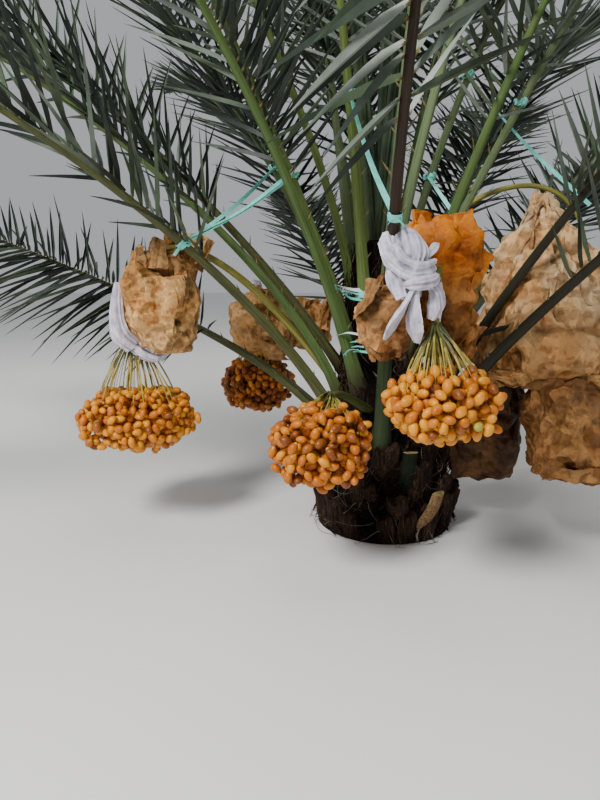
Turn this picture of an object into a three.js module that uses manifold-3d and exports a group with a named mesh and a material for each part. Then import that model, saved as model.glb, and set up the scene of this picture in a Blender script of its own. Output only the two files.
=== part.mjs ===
// A fruiting date palm: short fibrous trunk, arching fronds, hanging bunches, paper bags and netting.
// Millimetres, +Z up. The origin is the middle of the flat cut under the trunk, at ground level.
// Directions round the trunk are in degrees: 0 is +X, 90 is +Y.

import * as THREE from 'three';
import { mergeVertices } from 'three/addons/utils/BufferGeometryUtils.js';
import Module from 'manifold-3d';

const wasm = await Module();
wasm.setup();

// Clearance where one piece meets another. A few-sided section keeps flatShare of it on its flats.
const seatGap = 0.35;
const flatShare = 0.85;

// Trunk: height and radius up its side, from the root flare to the growing tip.
const trunkProfile = [
  [0, 252], [50, 228], [230, 212], [340, 182], [460, 142], [700, 106], [940, 74], [1040, 34],
];
const trunkTop = 1060;
const trunkLean = 0.045;   // drift towards -X for each unit of height
const trunkSides = 14;

// Boots: the cut bases of old fronds, in a spiral up the foot of the trunk.
const boots = {
  count: 20, lowest: 25, highest: 265, turnEach: 137.5,
  width: 84, tipWidth: 62, thickness: 34, length: 128, sink: 30, tilt: 22,
};

// Fronds: the bare stalk comes first, then the blade with its leaflets.
const frondShape = {
  bareShare: 0.27, bareSteps: 4, pairs: 20, strides: 3, rootShare: 0.9, rootSink: 45,
  kickLength: 280, bendPower: 1.5, roll: 12, rollStep: 2.3,
  lowFootWidth: 64, highFootWidth: 38, tipWidth: 9, widthFall: 2.2, depthShare: 0.62, depthMin: 3,
  leafLength: 460, leafEndShare: 0.42, fullestFrom: 0.12, fullestTo: 0.92, endLeafLength: 190,
  leafAngleFoot: 62, leafAngleTip: 24, leafLift: 22, leafRankLift: 15, rankStep: 2.4,
};

// Each frond: direction, slope and its loss to the tip, extra slope at the foot, height of the foot.
// Some sweep sideways, and some are bare for longer than the rest.
const fronds = [
  { turn: 205, rise: 46, bend: 44, kick: 20, foot: 360, length: 2900 },
  { turn: 184, rise: 48, bend: 40, kick: 28, foot: 440, length: 3000 },
  { turn: 172, rise: 48, bend: 24, kick: 12, foot: 550, length: 3000 },
  { turn: 160, rise: 22, bend: 8, kick: 34, foot: 320, length: 2500 },
  { turn: 146, rise: 60, bend: 44, kick: 20, foot: 590, length: 3000 },
  { turn: 207, rise: 64, bend: 16, kick: 12, foot: 620, length: 3000 },
  { turn: 180, rise: 67, bend: 12, kick: 22, foot: 780, length: 3000 },
  { turn: 138, rise: 81, bend: 10, kick: 0, foot: 760, length: 2900 },
  { turn: 234, rise: 79, bend: 16, kick: 4, foot: 720, length: 2900 },
  { turn: 262, rise: 57, bend: 40, kick: 14, foot: 280, length: 2800, sweep: 10, bare: 0.41 },
  { turn: 355, rise: 70, bend: 20, kick: 14, foot: 880, length: 2800 },
  { turn: 300, rise: 70, bend: 36, kick: 14, foot: 860, length: 2900 },
  { turn: 318, rise: 68, bend: 22, kick: 12, foot: 620, length: 2900 },
  { turn: 346, rise: 64, bend: 12, kick: 2, foot: 760, length: 3000 },
  { turn: 331, rise: 58, bend: 26, kick: 8, foot: 390, length: 2900 },
  { turn: 316, rise: 45, bend: 16, kick: 22, foot: 305, length: 2800 },
  { turn: 278, rise: 80, bend: 34, kick: 2, foot: 800, length: 2800 },
  { turn: 14, rise: 50, bend: 40, kick: 18, foot: 470, length: 2900 },
  { turn: 46, rise: 54, bend: 44, kick: 16, foot: 600, length: 3000 },
  { turn: 43, rise: 34, bend: 24, kick: 30, foot: 340, length: 2700 },
  { turn: 62, rise: 46, bend: 40, kick: 22, foot: 440, length: 2900 },
  { turn: 94, rise: 62, bend: 44, kick: 14, foot: 600, length: 3000 },
  { turn: 118, rise: 50, bend: 42, kick: 20, foot: 470, length: 3000 },
  { turn: 112, rise: 68, bend: 36, kick: 10, foot: 730, length: 3000 },
  { turn: 84, rise: 77, bend: 26, kick: 6, foot: 820, length: 2900 },
  { turn: 99, rise: 32, bend: 24, kick: 30, foot: 330, length: 2600 },
  { turn: 64, rise: 66, bend: 40, kick: 10, foot: 720, length: 2900 },
  { turn: 225, rise: 62, bend: 46, kick: 12, foot: 500, length: 2900 },
];

// Spears: the closed young fronds that stand in the middle of the crown.
const spears = {
  footHeight: 990, footRadius: 26, tipRadius: 5, steps: 5, sides: 5,
  leaves: [
    { turn: 60, lean: 3, length: 2250 },
    { turn: 180, lean: 7, length: 1900 },
    { turn: 300, lean: 8, length: 1700 },
  ],
};

// Fruit stalks: each rises from the trunk, arches over and ends pointing down.
const stalkShape = { footRadius: 19, endRadius: 10, steps: 12, sides: 6, rootSink: 35 };
const stalks = {
  left: { turn: 163, foot: 440, end: [-900, -100, 700], rise: 430, drop: 640, out: 0.4 },
  back: { turn: 132, foot: 500, end: [-500, 500, 660], rise: 190, drop: 260, out: 0.4 },
  front_left: { turn: 246, foot: 440, end: [-230, -392, 536], rise: 50, drop: 70, out: 0.4 },
  front: { turn: 306, foot: 720, end: [22, -668, 770], rise: 250, drop: 330, out: 0.35 },
  right: { turn: 28, foot: 800, end: [660, -70, 950], rise: 420, drop: 470, out: 0.15 },
  low_right: { turn: 308, foot: 500, end: [560, -320, 590], rise: 270, drop: 290, out: 0.35 },
  under_right: { turn: 2, foot: 560, end: [372, -16, 560], rise: 160, drop: 230, out: 0.3 },
  far: { turn: 76, foot: 630, end: [115, 650, 690], rise: 220, drop: 300, out: 0.35 },
  far_right: { turn: 28, foot: 620, end: [610, 310, 800], rise: 320, drop: 380, out: 0.35 },
};

// Bunches that show: middle of the fruit, and how far it spreads each way.
const bunchShape = {
  coreShare: 0.42, coreSteps: [8, 6], fruitLong: 40, fruitWide: 33, fruitSpacing: 104, turnEach: 137.5,
  strands: 6, strandSides: 3, strandRadius: 5, strandSink: 17, strandSpread: 0.72,
  knobRadius: 15, knobHeight: 24, knobSides: 6,
  coverSteps: [10, 8], coverMargin: 3, coverKnob: 23, coverSpread: 0.36, coverLift: 1,
};
const bunches = {
  left: { middle: [-900, -105, 418], size: [430, 380, 235] },
  back: { middle: [-515, 508, 438], size: [330, 320, 265] },
  front_left: { middle: [-262, -550, 446], size: [300, 280, 245] },
  front: { middle: [44, -715, 585], size: [325, 290, 222] },
  far: { middle: [118, 665, 440], size: [340, 320, 250] },
};

// Bags of crumpled paper. Each outline is height share and width share, from hem to neck.
const wrapOutline = [[0, 0.5], [0.1, 0.86], [0.36, 1], [0.66, 0.94], [0.88, 0.66], [1, 0.34]];
const sackOutline = [[0, 0.8], [0.08, 1], [0.42, 0.96], [0.72, 0.78], [0.92, 0.4], [1, 0.16]];
const tentOutline = [[0, 0.84], [0.1, 1], [0.34, 0.94], [0.62, 0.66], [0.86, 0.32], [1, 0.08]];
const bagSides = 10;
const folds = { depth: 0.07, round: 3.1, rise: 1.7, cross: 2.3 };
const bags = {
  left: { middle: [-808, -118, 865], size: [300, 270, 400], outline: wrapOutline, tip: [25, 0] },
  back: {
    middle: [-495, 520, 715], size: [270, 240, 300], outline: wrapOutline, tip: [10, 10],
    lobe: { middle: [-290, 545, 705], size: [210, 190, 210], outline: wrapOutline, tip: [10, 0] },
  },
  front_brown: { middle: [-92, -562, 822], size: [160, 150, 255], outline: wrapOutline, tip: [0, 0] },
  front_orange: { middle: [112, -512, 872], size: [225, 190, 410], outline: sackOutline, tip: [-20, 0] },
  right: { middle: [565, -140, 860], size: [500, 330, 620], outline: tentOutline, tip: [-85, 20] },
  low_right: { middle: [585, -320, 424], size: [330, 270, 300], outline: sackOutline, tip: [0, 0] },
  under_right: { middle: [372, -16, 386], size: [270, 230, 400], outline: sackOutline, tip: [0, 0] },
  far: { middle: [118, 655, 735], size: [250, 240, 280], outline: wrapOutline, tip: [0, 0] },
  far_right: { middle: [610, 310, 700], size: [320, 280, 420], outline: sackOutline, tip: [0, 0] },
};

// Netting: a knotted length round the front stalk, and a pouch beside the left bag.
const netOutline = [[0, 0.4], [0.14, 0.72], [0.34, 0.9], [0.52, 0.62], [0.74, 1], [1, 0.4]];
const netSides = 8;
const nets = {
  front: { middle: [-14, -634, 893], size: [125, 110, 270], tip: [-22, 20] },
  left: { middle: [-985, -75, 770], size: [110, 130, 250], tip: [10, 0] },
};

// Leaflets keep this far from every other limb, and are dropped below this share of their length.
const leafClearance = 7;
const leafTries = [1, 0.8, 0.62, 0.46, 0.32];
const guard = { leafShare: 0.42, leafTip: 4, ribShare: 0.62, wrapMargin: 12 };

const rad = THREE.MathUtils.degToRad;
const mix = THREE.MathUtils.lerp;
const up = new THREE.Vector3(0, 0, 1);

const compass = (turn) => new THREE.Vector3(Math.cos(rad(turn)), Math.sin(rad(turn)), 0);

// Straight-line reading of a profile of [height, value] rows.
function valueAt(profile, height) {
  const last = profile.length - 1;
  if (height >= profile[last][0]) return profile[last][1];
  const row = Math.max(1, profile.findIndex(([h]) => h > height));
  const [h0, v0] = profile[row - 1];
  const [h1, v1] = profile[row];
  return mix(v0, v1, (height - h0) / (h1 - h0));
}

function trunkPoint(turn, height, share) {
  const radius = valueAt(trunkProfile, height) * share;
  return compass(turn).multiplyScalar(radius).add(new THREE.Vector3(-trunkLean * height, 0, height));
}

// Closed meshes to solids and back.

const sameCorner = 1e-3;

function solidOf(geometry) {
  const bare = geometry.clone();
  bare.deleteAttribute('normal');
  bare.deleteAttribute('uv');
  const merged = mergeVertices(bare, sameCorner);
  const corners = merged.index.array;
  const triVerts = [];
  for (let i = 0; i < corners.length; i += 3) {
    const [a, b, c] = [corners[i], corners[i + 1], corners[i + 2]];
    if (a !== b && b !== c && c !== a) triVerts.push(a, b, c);
  }
  return new wasm.Manifold(new wasm.Mesh({
    numProp: 3,
    vertProperties: new Float32Array(merged.attributes.position.array),
    triVerts: new Uint32Array(triVerts),
  }));
}

function solidFrom(points, faces) {
  const geometry = new THREE.BufferGeometry().setFromPoints(points);
  geometry.setIndex(faces.flat());
  return solidOf(geometry);
}

function largestBody(solid) {
  return solid.decompose().sort((a, b) => b.volume() - a.volume())[0];
}

function geometryOf(solid, anchor) {
  const mesh = largestBody(solid).getMesh();
  const geometry = new THREE.BufferGeometry();
  geometry.setAttribute('position', new THREE.BufferAttribute(new Float32Array(mesh.vertProperties), 3));
  geometry.setIndex(new THREE.BufferAttribute(new Uint32Array(mesh.triVerts), 1));
  geometry.translate(-anchor.x, -anchor.y, -anchor.z);
  geometry.computeVertexNormals();
  return geometry;
}

// A closed skin through rings of equal counts, with a point at the middle of each end.
function loft(rings) {
  const sides = rings[0].length;
  const points = rings.flat();
  const faces = [];
  for (let i = 0; i + 1 < rings.length; i += 1) {
    for (let j = 0; j < sides; j += 1) {
      const [a, b] = [i * sides + j, i * sides + ((j + 1) % sides)];
      faces.push([a, b, b + sides], [a, b + sides, a + sides]);
    }
  }
  const lastRing = (rings.length - 1) * sides;
  const foot = points.push(middleOf(rings[0])) - 1;
  const head = points.push(middleOf(rings[rings.length - 1])) - 1;
  for (let j = 0; j < sides; j += 1) {
    const next = (j + 1) % sides;
    faces.push([next, j, foot], [lastRing + j, lastRing + next, head]);
  }
  return solidFrom(points, faces);
}

function middleOf(ring) {
  return ring.reduce((sum, p) => sum.add(p), new THREE.Vector3()).divideScalar(ring.length);
}

// A tapering limb along a curve that lies about in one upright plane.
function limb(curve, steps, sides, radiusAt) {
  const chord = curve.getPoint(1).sub(curve.getPoint(0));
  const across = new THREE.Vector3().crossVectors(up, chord).normalize();
  const rings = [];
  for (let i = 0; i <= steps; i += 1) {
    const share = i / steps;
    const along = curve.getTangent(share);
    const over = new THREE.Vector3().crossVectors(along, across).normalize();
    const centre = curve.getPoint(share);
    rings.push(Array.from({ length: sides }, (_, j) => {
      const angle = (j / sides) * 2 * Math.PI;
      return centre.clone()
        .addScaledVector(over, Math.cos(angle) * radiusAt(share))
        .addScaledVector(across, -Math.sin(angle) * radiusAt(share));
    }));
  }
  return loft(rings);
}

// A round bar between two points.
function barSolid(from, to, radiusFrom, radiusTo, sides) {
  const bar = new THREE.CylinderGeometry(radiusTo, radiusFrom, from.distanceTo(to), sides);
  const heading = to.clone().sub(from).normalize();
  bar.applyQuaternion(new THREE.Quaternion().setFromUnitVectors(new THREE.Vector3(0, 1, 0), heading));
  bar.translate(...from.clone().add(to).multiplyScalar(0.5).toArray());
  return solidOf(bar);
}

// Trunk with its boots. Grown by a gap, the same shape cuts the seats of the limbs.

function bootSolid(index, grow) {
  const height = mix(boots.lowest, boots.highest, index / (boots.count - 1));
  const turn = index * boots.turnEach;
  const box = new THREE.BoxGeometry(
    boots.thickness + 2 * grow, boots.width + 2 * grow, boots.length + 2 * grow,
  );
  const position = box.attributes.position;
  for (let i = 0; i < position.count; i += 1) {
    if (position.getZ(i) > 0) position.setY(i, position.getY(i) * (boots.tipWidth / boots.width));
  }
  box.rotateY(rad(boots.tilt));
  box.rotateZ(rad(turn));
  const seat = trunkPoint(turn, height, 1).addScaledVector(compass(turn), -boots.sink / 2);
  box.translate(seat.x, seat.y, seat.z + boots.length / 2);
  return solidOf(box);
}

function trunkSolid(grow) {
  const side = trunkProfile.map(([height, radius]) => new THREE.Vector2(radius + grow, height));
  const outline = [new THREE.Vector2(0, 0), ...side, new THREE.Vector2(0, trunkTop + grow)];
  const skin = new THREE.LatheGeometry(outline, trunkSides);
  skin.rotateX(Math.PI / 2);
  const position = skin.attributes.position;
  for (let i = 0; i < position.count; i += 1) {
    position.setX(i, position.getX(i) - trunkLean * position.getZ(i));
  }
  let stem = solidOf(skin);
  for (let i = 0; i < boots.count; i += 1) stem = stem.add(bootSolid(i, grow));
  return stem;
}

const trunk = trunkSolid(0);
const trunkSeat = trunkSolid(seatGap);

// Rib of a frond: stations along it, each with its frame, width and depth.

function ribStations(frond, index) {
  const shape = frondShape;
  const bare = frond.bare ?? shape.bareShare;
  const shares = [];
  for (let i = 0; i < shape.bareSteps; i += 1) {
    shares.push((bare * i) / shape.bareSteps);
  }
  for (let i = 0; i <= shape.pairs; i += 1) {
    shares.push(mix(bare, 1, i / shape.pairs));
  }
  const headingAt = (share) => {
    const run = share * frond.length;
    const kick = frond.kick * Math.exp(-run / shape.kickLength);
    return {
      slope: rad(frond.rise + kick - frond.bend * share ** shape.bendPower),
      turn: rad(frond.turn + (frond.sweep ?? 0) * share),
    };
  };
  const footWidth = mix(shape.lowFootWidth, shape.highFootWidth, frond.foot / trunkTop);
  const point = trunkPoint(frond.turn, frond.foot, shape.rootShare);
  let before = 0;
  return shares.map((share) => {
    for (let k = 0; k < shape.strides; k += 1) {
      const { slope, turn } = headingAt(mix(before, share, (k + 0.5) / shape.strides));
      const stride = ((share - before) * frond.length) / shape.strides;
      point.x += stride * Math.cos(slope) * Math.cos(turn);
      point.y += stride * Math.cos(slope) * Math.sin(turn);
      point.z += stride * Math.sin(slope);
    }
    before = share;
    const { slope, turn } = headingAt(share);
    const [sinS, cosS, sinT, cosT] = [Math.sin(slope), Math.cos(slope), Math.sin(turn), Math.cos(turn)];
    const along = new THREE.Vector3(cosS * cosT, cosS * sinT, sinS);
    const roll = rad(shape.roll * share * Math.sin(index * shape.rollStep));
    const right = new THREE.Vector3(sinT, -cosT, 0).applyAxisAngle(along, roll);
    const over = new THREE.Vector3(-sinS * cosT, -sinS * sinT, cosS).applyAxisAngle(along, roll);
    const width = mix(shape.tipWidth, footWidth, (1 - share) ** shape.widthFall);
    const centre = point.clone();
    if (share === 0) centre.addScaledVector(along, -shape.rootSink);
    return { centre, along, right, over, width, depth: shape.depthShare * width + shape.depthMin };
  });
}

const ribs = fronds.map(ribStations);

// The rib's three edges at a station: left and right above, the keel below.
function ribEdges({ centre, right, over, width, depth }, grow) {
  const half = width / 2 + 2 * grow;
  return [
    centre.clone().addScaledVector(right, -half).addScaledVector(over, grow),
    centre.clone().addScaledVector(right, half).addScaledVector(over, grow),
    centre.clone().addScaledVector(over, -depth - 2 * grow),
  ];
}

// Space already taken, as round bars that taper from one end to the other.

const taken = [];

function take(owner, a, b, radiusA, radiusB) {
  taken.push({
    owner, a, b, radiusA, radiusB,
    middle: a.clone().add(b).multiplyScalar(0.5),
    reach: a.distanceTo(b) / 2 + Math.max(radiusA, radiusB),
  });
}

// Clear space between two tapering bars, at their closest points.
const tiny = 1e-6;

function spaceBetween(one, two) {
  const d1 = one.b.clone().sub(one.a);
  const d2 = two.b.clone().sub(two.a);
  const r = one.a.clone().sub(two.a);
  const [a, b, c, e, f] = [d1.dot(d1), d1.dot(d2), d1.dot(r), d2.dot(d2), d2.dot(r)];
  const bend = a * e - b * b;
  const hold = (value) => Math.min(1, Math.max(0, value));
  let s = bend > tiny ? hold((b * f - c * e) / bend) : 0.5;
  let t = e > tiny ? (b * s + f) / e : 0;
  if (t < 0 || t > 1 || e <= tiny) {
    t = hold(t);
    s = a > tiny ? hold((b * t - c) / a) : 0;
  }
  const p = one.a.clone().addScaledVector(d1, s);
  const q = two.a.clone().addScaledVector(d2, t);
  return p.distanceTo(q) - mix(one.radiusA, one.radiusB, s) - mix(two.radiusA, two.radiusB, t);
}

function isClear(bar) {
  return taken.every((other) => {
    if (other.owner === bar.owner) return true;
    const apart = other.middle.distanceTo(bar.middle) - other.reach - bar.reach;
    return apart > leafClearance || spaceBetween(bar, other) > leafClearance;
  });
}

// Stalks of the bunches.

function stalkCurve({ turn, foot, end, rise, drop, out }) {
  const start = trunkPoint(turn, foot, 1).addScaledVector(compass(turn), -stalkShape.rootSink);
  const goal = new THREE.Vector3(...end);
  const reach = Math.hypot(goal.x - start.x, goal.y - start.y);
  const first = start.clone().addScaledVector(compass(turn), reach * out).addScaledVector(up, rise);
  const second = goal.clone().addScaledVector(up, drop);
  return new THREE.CubicBezierCurve3(start, first, second, goal);
}

function stalkSolid(stalk, grow) {
  return limb(stalkCurve(stalk), stalkShape.steps, stalkShape.sides,
    (share) => mix(stalkShape.footRadius, stalkShape.endRadius, share) + grow / flatShare);
}

// A bag or net: an outline turned about an upright line, made uneven, its neck moved aside.
function wrapSolid({ middle, size, outline, tip, lobe }, sides, seed, grow) {
  const [x, y, z] = middle;
  const [width, depth, height] = size.map((side) => side + (2 * grow) / flatShare);
  const rings = outline.map(([rise, spread], row) => Array.from({ length: sides }, (_, j) => {
    const angle = (j / sides) * 2 * Math.PI;
    const fold = 1 + folds.depth * Math.sin(seed + folds.round * j + folds.rise * row)
      + folds.depth * Math.sin(seed + folds.cross * j * row);
    return new THREE.Vector3(
      x + tip[0] * rise + (width / 2) * spread * fold * Math.cos(angle),
      y + tip[1] * rise + (depth / 2) * spread * fold * Math.sin(angle),
      z + height * (rise - 0.5),
    );
  }));
  const body = loft(rings);
  return lobe ? body.add(wrapSolid(lobe, sides, seed + 1, grow)) : body;
}

// A bunch: strands from a knob under the stalk, a core, and fruit standing out of it.

function bunchSolid({ middle, size }, end) {
  const shape = bunchShape;
  const centre = new THREE.Vector3(...middle);
  const half = new THREE.Vector3(...size).multiplyScalar(shape.coreShare);
  const core = new THREE.SphereGeometry(1, ...shape.coreSteps);
  core.rotateX(Math.PI / 2);
  core.scale(half.x, half.y, half.z);
  core.translate(centre.x, centre.y, centre.z);
  let bunch = solidOf(core);

  const knobTop = new THREE.Vector3(...end).addScaledVector(up, -seatGap);
  const knobFoot = knobTop.clone().addScaledVector(up, -shape.knobHeight);
  bunch = bunch.add(barSolid(knobTop, knobFoot, shape.knobRadius, shape.knobRadius, shape.knobSides));

  for (let i = 0; i < shape.strands; i += 1) {
    const spread = compass((360 / shape.strands) * (i + 0.5));
    const start = knobTop.clone().addScaledVector(up, -shape.strandSink);
    const goal = centre.clone().add(spread.multiply(half).multiplyScalar(shape.strandSpread));
    bunch = bunch.add(barSolid(start, goal, shape.strandRadius, shape.strandRadius, shape.strandSides));
  }

  const area = 4 * Math.PI * ((half.x * half.y + half.y * half.z + half.z * half.x) / 3);
  const count = Math.round(area / shape.fruitSpacing ** 2);
  for (let i = 0; i < count; i += 1) {
    const level = 1 - (2 * (i + 0.5)) / count;
    const ringShare = Math.sqrt(1 - level * level);
    const away = compass(i * shape.turnEach).multiplyScalar(ringShare).addScaledVector(up, level);
    const seat = centre.clone().add(away.clone().multiply(half));
    const fruit = new THREE.OctahedronGeometry(1);
    fruit.scale(shape.fruitWide, shape.fruitWide, shape.fruitLong);
    fruit.applyQuaternion(new THREE.Quaternion().setFromUnitVectors(up, away.clone().normalize()));
    fruit.translate(seat.x, seat.y, seat.z);
    bunch = bunch.add(solidOf(fruit));
  }
  return bunch;
}

// The space a bunch fills, for cutting what lies round it.
function bunchCover({ middle, size }, end) {
  const shape = bunchShape;
  const cover = new THREE.SphereGeometry(1, ...shape.coverSteps);
  cover.rotateX(Math.PI / 2);
  cover.scale(...size.map((side) => side * shape.coreShare + shape.fruitLong + shape.coverMargin));
  cover.translate(...middle);
  const top = new THREE.Vector3(...end).addScaledVector(up, shape.coverLift);
  const spread = size[0] * shape.coverSpread;
  const cone = barSolid(top, new THREE.Vector3(...middle), shape.coverKnob, spread, shape.coverSteps[0]);
  return solidOf(cover).add(cone);
}

// Everything the leaflets have to keep clear of is taken before the leaflets grow.

ribs.forEach((stations, index) => {
  for (let i = 0; i + 1 < stations.length; i += 1) {
    const [here, next] = [stations[i], stations[i + 1]];
    take(index, here.centre, next.centre, here.width * guard.ribShare, next.width * guard.ribShare);
  }
});
Object.values(stalks).forEach((stalk) => {
  const line = stalkCurve(stalk).getPoints(stalkShape.steps);
  for (let i = 0; i + 1 < line.length; i += 1) {
    take('stalk', line[i], line[i + 1], stalkShape.footRadius, stalkShape.footRadius);
  }
});
[...Object.values(bunches), ...Object.values(bags), ...Object.values(nets)].forEach(({ middle, size }) => {
  const girth = Math.max(size[0], size[1]) / 2 + guard.wrapMargin;
  const rise = Math.max(0, size[2] / 2 - girth);
  const centre = new THREE.Vector3(...middle);
  const [foot, head] = [-rise, rise].map((height) => centre.clone().addScaledVector(up, height));
  take('wrap', foot, head, girth, girth);
});

// Leaflets grow pair by pair up all fronds at once, each as long as the space allows.

function leafTip(stations, index, pair, side, stretch) {
  const shape = frondShape;
  const [here, next] = [stations[shape.bareSteps + pair], stations[shape.bareSteps + pair + 1]];
  const share = (pair + 0.5) / shape.pairs;
  const angle = rad(mix(shape.leafAngleFoot, shape.leafAngleTip, share));
  const lift = rad(shape.leafLift + shape.leafRankLift * Math.sin(pair * shape.rankStep + index + side));
  const swell = Math.sin(Math.PI * mix(shape.fullestFrom, shape.fullestTo, share));
  const root = here.centre.clone().add(next.centre).multiplyScalar(0.5)
    .addScaledVector(here.right, (side * here.width) / 2);
  const reach = mix(shape.leafEndShare, 1, swell) * shape.leafLength * stretch;
  const tip = root.clone()
    .addScaledVector(here.along, Math.cos(angle) * reach)
    .addScaledVector(here.right, side * Math.sin(angle) * Math.cos(lift) * reach)
    .addScaledVector(here.over, Math.sin(angle) * Math.sin(lift) * reach);
  return { root, tip, girth: here.centre.distanceTo(next.centre) * guard.leafShare };
}

const leafTips = ribs.map(() => ({ left: [], right: [] }));
for (let pair = 0; pair < frondShape.pairs; pair += 1) {
  ribs.forEach((stations, index) => {
    for (const [name, side] of [['left', -1], ['right', 1]]) {
      let found = null;
      for (const stretch of leafTries) {
        const { root, tip, girth } = leafTip(stations, index, pair, side, stretch);
        const bar = {
          owner: index, a: root, b: tip, radiusA: girth, radiusB: guard.leafTip,
          middle: root.clone().add(tip).multiplyScalar(0.5), reach: root.distanceTo(tip) / 2 + girth,
        };
        if (isClear(bar)) {
          take(index, root, tip, girth, guard.leafTip);
          found = tip;
          break;
        }
      }
      leafTips[index][name].push(found);
    }
  });
}

// A frond: the rib's faces, with a leaflet raised from each edge between two stations.
function frondSolid(stations, tips, grow) {
  const points = stations.flatMap((station) => ribEdges(station, grow));
  const faces = [];
  const raise = (corner, from, to, tip) => {
    if (tip === null) faces.push([corner, from, to]);
    else faces.push([corner, from, tip], [corner, tip, to]);
  };
  for (let i = 0; i + 1 < stations.length; i += 1) {
    const [left, right, keel] = [3 * i, 3 * i + 1, 3 * i + 2];
    const [nextLeft, nextRight, nextKeel] = [left + 3, right + 3, keel + 3];
    const pair = i - frondShape.bareSteps;
    const [leftTip, rightTip] = ['left', 'right'].map((name) => {
      const tip = tips[name][pair] ?? null;
      return tip === null ? null : points.push(tip) - 1;
    });
    raise(right, nextLeft, left, leftTip);
    raise(keel, left, nextLeft, leftTip);
    raise(nextLeft, right, nextRight, rightTip);
    raise(keel, nextRight, right, rightTip);
    faces.push([keel, nextLeft, nextKeel], [keel, nextKeel, nextRight]);
  }
  faces.push([0, 2, 1]);
  const last = stations[stations.length - 1];
  const end = points.push(last.centre.clone().addScaledVector(last.along, frondShape.endLeafLength)) - 1;
  const tail = 3 * (stations.length - 1);
  faces.push([tail, tail + 1, end], [tail + 1, tail + 2, end], [tail + 2, tail, end]);
  return solidFrom(points, faces);
}

function spearSolid(foot) {
  return spears.leaves.map(({ turn, lean, length }) => {
    const heading = compass(turn).multiplyScalar(Math.sin(rad(lean)))
      .addScaledVector(up, Math.cos(rad(lean)));
    const line = new THREE.LineCurve3(foot, foot.clone().addScaledVector(heading, length));
    return limb(line, spears.steps, spears.sides,
      (share) => mix(spears.footRadius, spears.tipRadius, share));
  }).reduce((all, leaf) => all.add(leaf));
}

// Finishes.

const surface = (name, color, roughness) => new THREE.MeshStandardMaterial({
  name, color, roughness, metalness: 0,
});
const trunkFibre = surface('trunk_fibre', 0x3a2c20, 0.95);
const frondGreen = surface('frond_green', 0x66784f, 0.6);
const stalkGreen = surface('stalk_green', 0x8a8a48, 0.5);
const fruitOrange = surface('fruit', 0xd98a2b, 0.35);
const kraftPaper = surface('kraft_paper', 0xc58f55, 0.8);
const netCloth = surface('netting', 0xdcd8e4, 0.9);

// The whole palm, grouped as crown, fruit and wrappings.

const palm = new THREE.Group();
const crown = new THREE.Group();
const harvest = new THREE.Group();
const wrappings = new THREE.Group();
palm.add(crown, harvest, wrappings);

function place(group, name, solid, anchor, material) {
  const mesh = new THREE.Mesh(geometryOf(solid, anchor), material);
  mesh.name = name;
  mesh.position.copy(anchor);
  group.add(mesh);
}

place(palm, 'trunk', trunk, new THREE.Vector3(), trunkFibre);
const spearFoot = new THREE.Vector3(-trunkLean * spears.footHeight, 0, spears.footHeight);
place(crown, 'spear_leaves', spearSolid(spearFoot).subtract(trunkSeat), spearFoot, frondGreen);
ribs.forEach((stations, index) => {
  const name = `frond_${String(index + 1).padStart(2, '0')}`;
  const frond = frondSolid(stations, leafTips[index], 0).subtract(trunkSeat);
  place(crown, name, frond, stations[0].centre, frondGreen);
});

Object.entries(stalks).forEach(([name, stalk]) => {
  const solid = stalkSolid(stalk, 0).subtract(trunkSeat);
  place(harvest, `stalk_${name}`, solid, new THREE.Vector3(...stalk.end), stalkGreen);
});
Object.entries(bunches).forEach(([name, bunch]) => {
  const solid = bunchSolid(bunch, stalks[name].end);
  place(harvest, `bunch_${name}`, solid, new THREE.Vector3(...bunch.middle), fruitOrange);
});

// Wrappings give way to stalks, ribs and fruit, and each later one to the earlier ones.
const firm = [
  ...Object.values(stalks).map((stalk) => stalkSolid(stalk, seatGap)),
  ...ribs.map((stations) => frondSolid(stations, { left: [], right: [] }, seatGap)),
  ...Object.entries(bunches).map(([name, bunch]) => bunchCover(bunch, stalks[name].end)),
];
const soft = [
  ...Object.entries(nets).map(([name, net]) => ({
    name: `net_${name}`, wrap: { ...net, outline: netOutline }, sides: netSides, material: netCloth,
  })),
  ...Object.entries(bags).map(([name, bag]) => ({
    name: `bag_${name}`, wrap: bag, sides: bagSides, material: kraftPaper,
  })),
];
soft.forEach(({ name, wrap, sides, material }, index) => {
  const solid = firm.reduce((rest, cutter) => rest.subtract(cutter), wrapSolid(wrap, sides, index, 0));
  place(wrappings, name, solid, new THREE.Vector3(...wrap.middle), material);
  firm.push(wrapSolid(wrap, sides, index, seatGap));
});

export default palm;
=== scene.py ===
# A fruiting date palm: fibrous trunk, feather fronds, fruit bunches, paper bags, netting and tape ties.
# Metres, +Z up. The origin is on the flat cut under the trunk. Turns are in degrees: 0 is +X, 90 is +Y.

import math
import random

import bpy
import numpy as np
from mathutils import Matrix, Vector, kdtree, noise


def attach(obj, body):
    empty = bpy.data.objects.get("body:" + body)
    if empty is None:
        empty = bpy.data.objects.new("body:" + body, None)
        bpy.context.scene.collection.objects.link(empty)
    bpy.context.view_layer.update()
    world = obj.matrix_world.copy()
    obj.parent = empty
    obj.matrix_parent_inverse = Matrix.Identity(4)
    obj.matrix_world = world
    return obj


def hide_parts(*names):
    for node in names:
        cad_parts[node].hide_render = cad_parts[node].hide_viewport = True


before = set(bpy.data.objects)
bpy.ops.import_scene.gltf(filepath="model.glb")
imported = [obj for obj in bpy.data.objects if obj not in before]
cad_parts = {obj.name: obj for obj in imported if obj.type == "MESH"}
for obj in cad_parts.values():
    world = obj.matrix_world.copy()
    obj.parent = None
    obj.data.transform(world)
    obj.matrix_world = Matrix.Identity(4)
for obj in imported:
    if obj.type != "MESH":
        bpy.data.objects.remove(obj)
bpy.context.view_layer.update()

up = np.array((0.0, 0.0, 1.0))


# Small sums

def mix(first, second, share):
    return first + (second - first) * share


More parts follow.
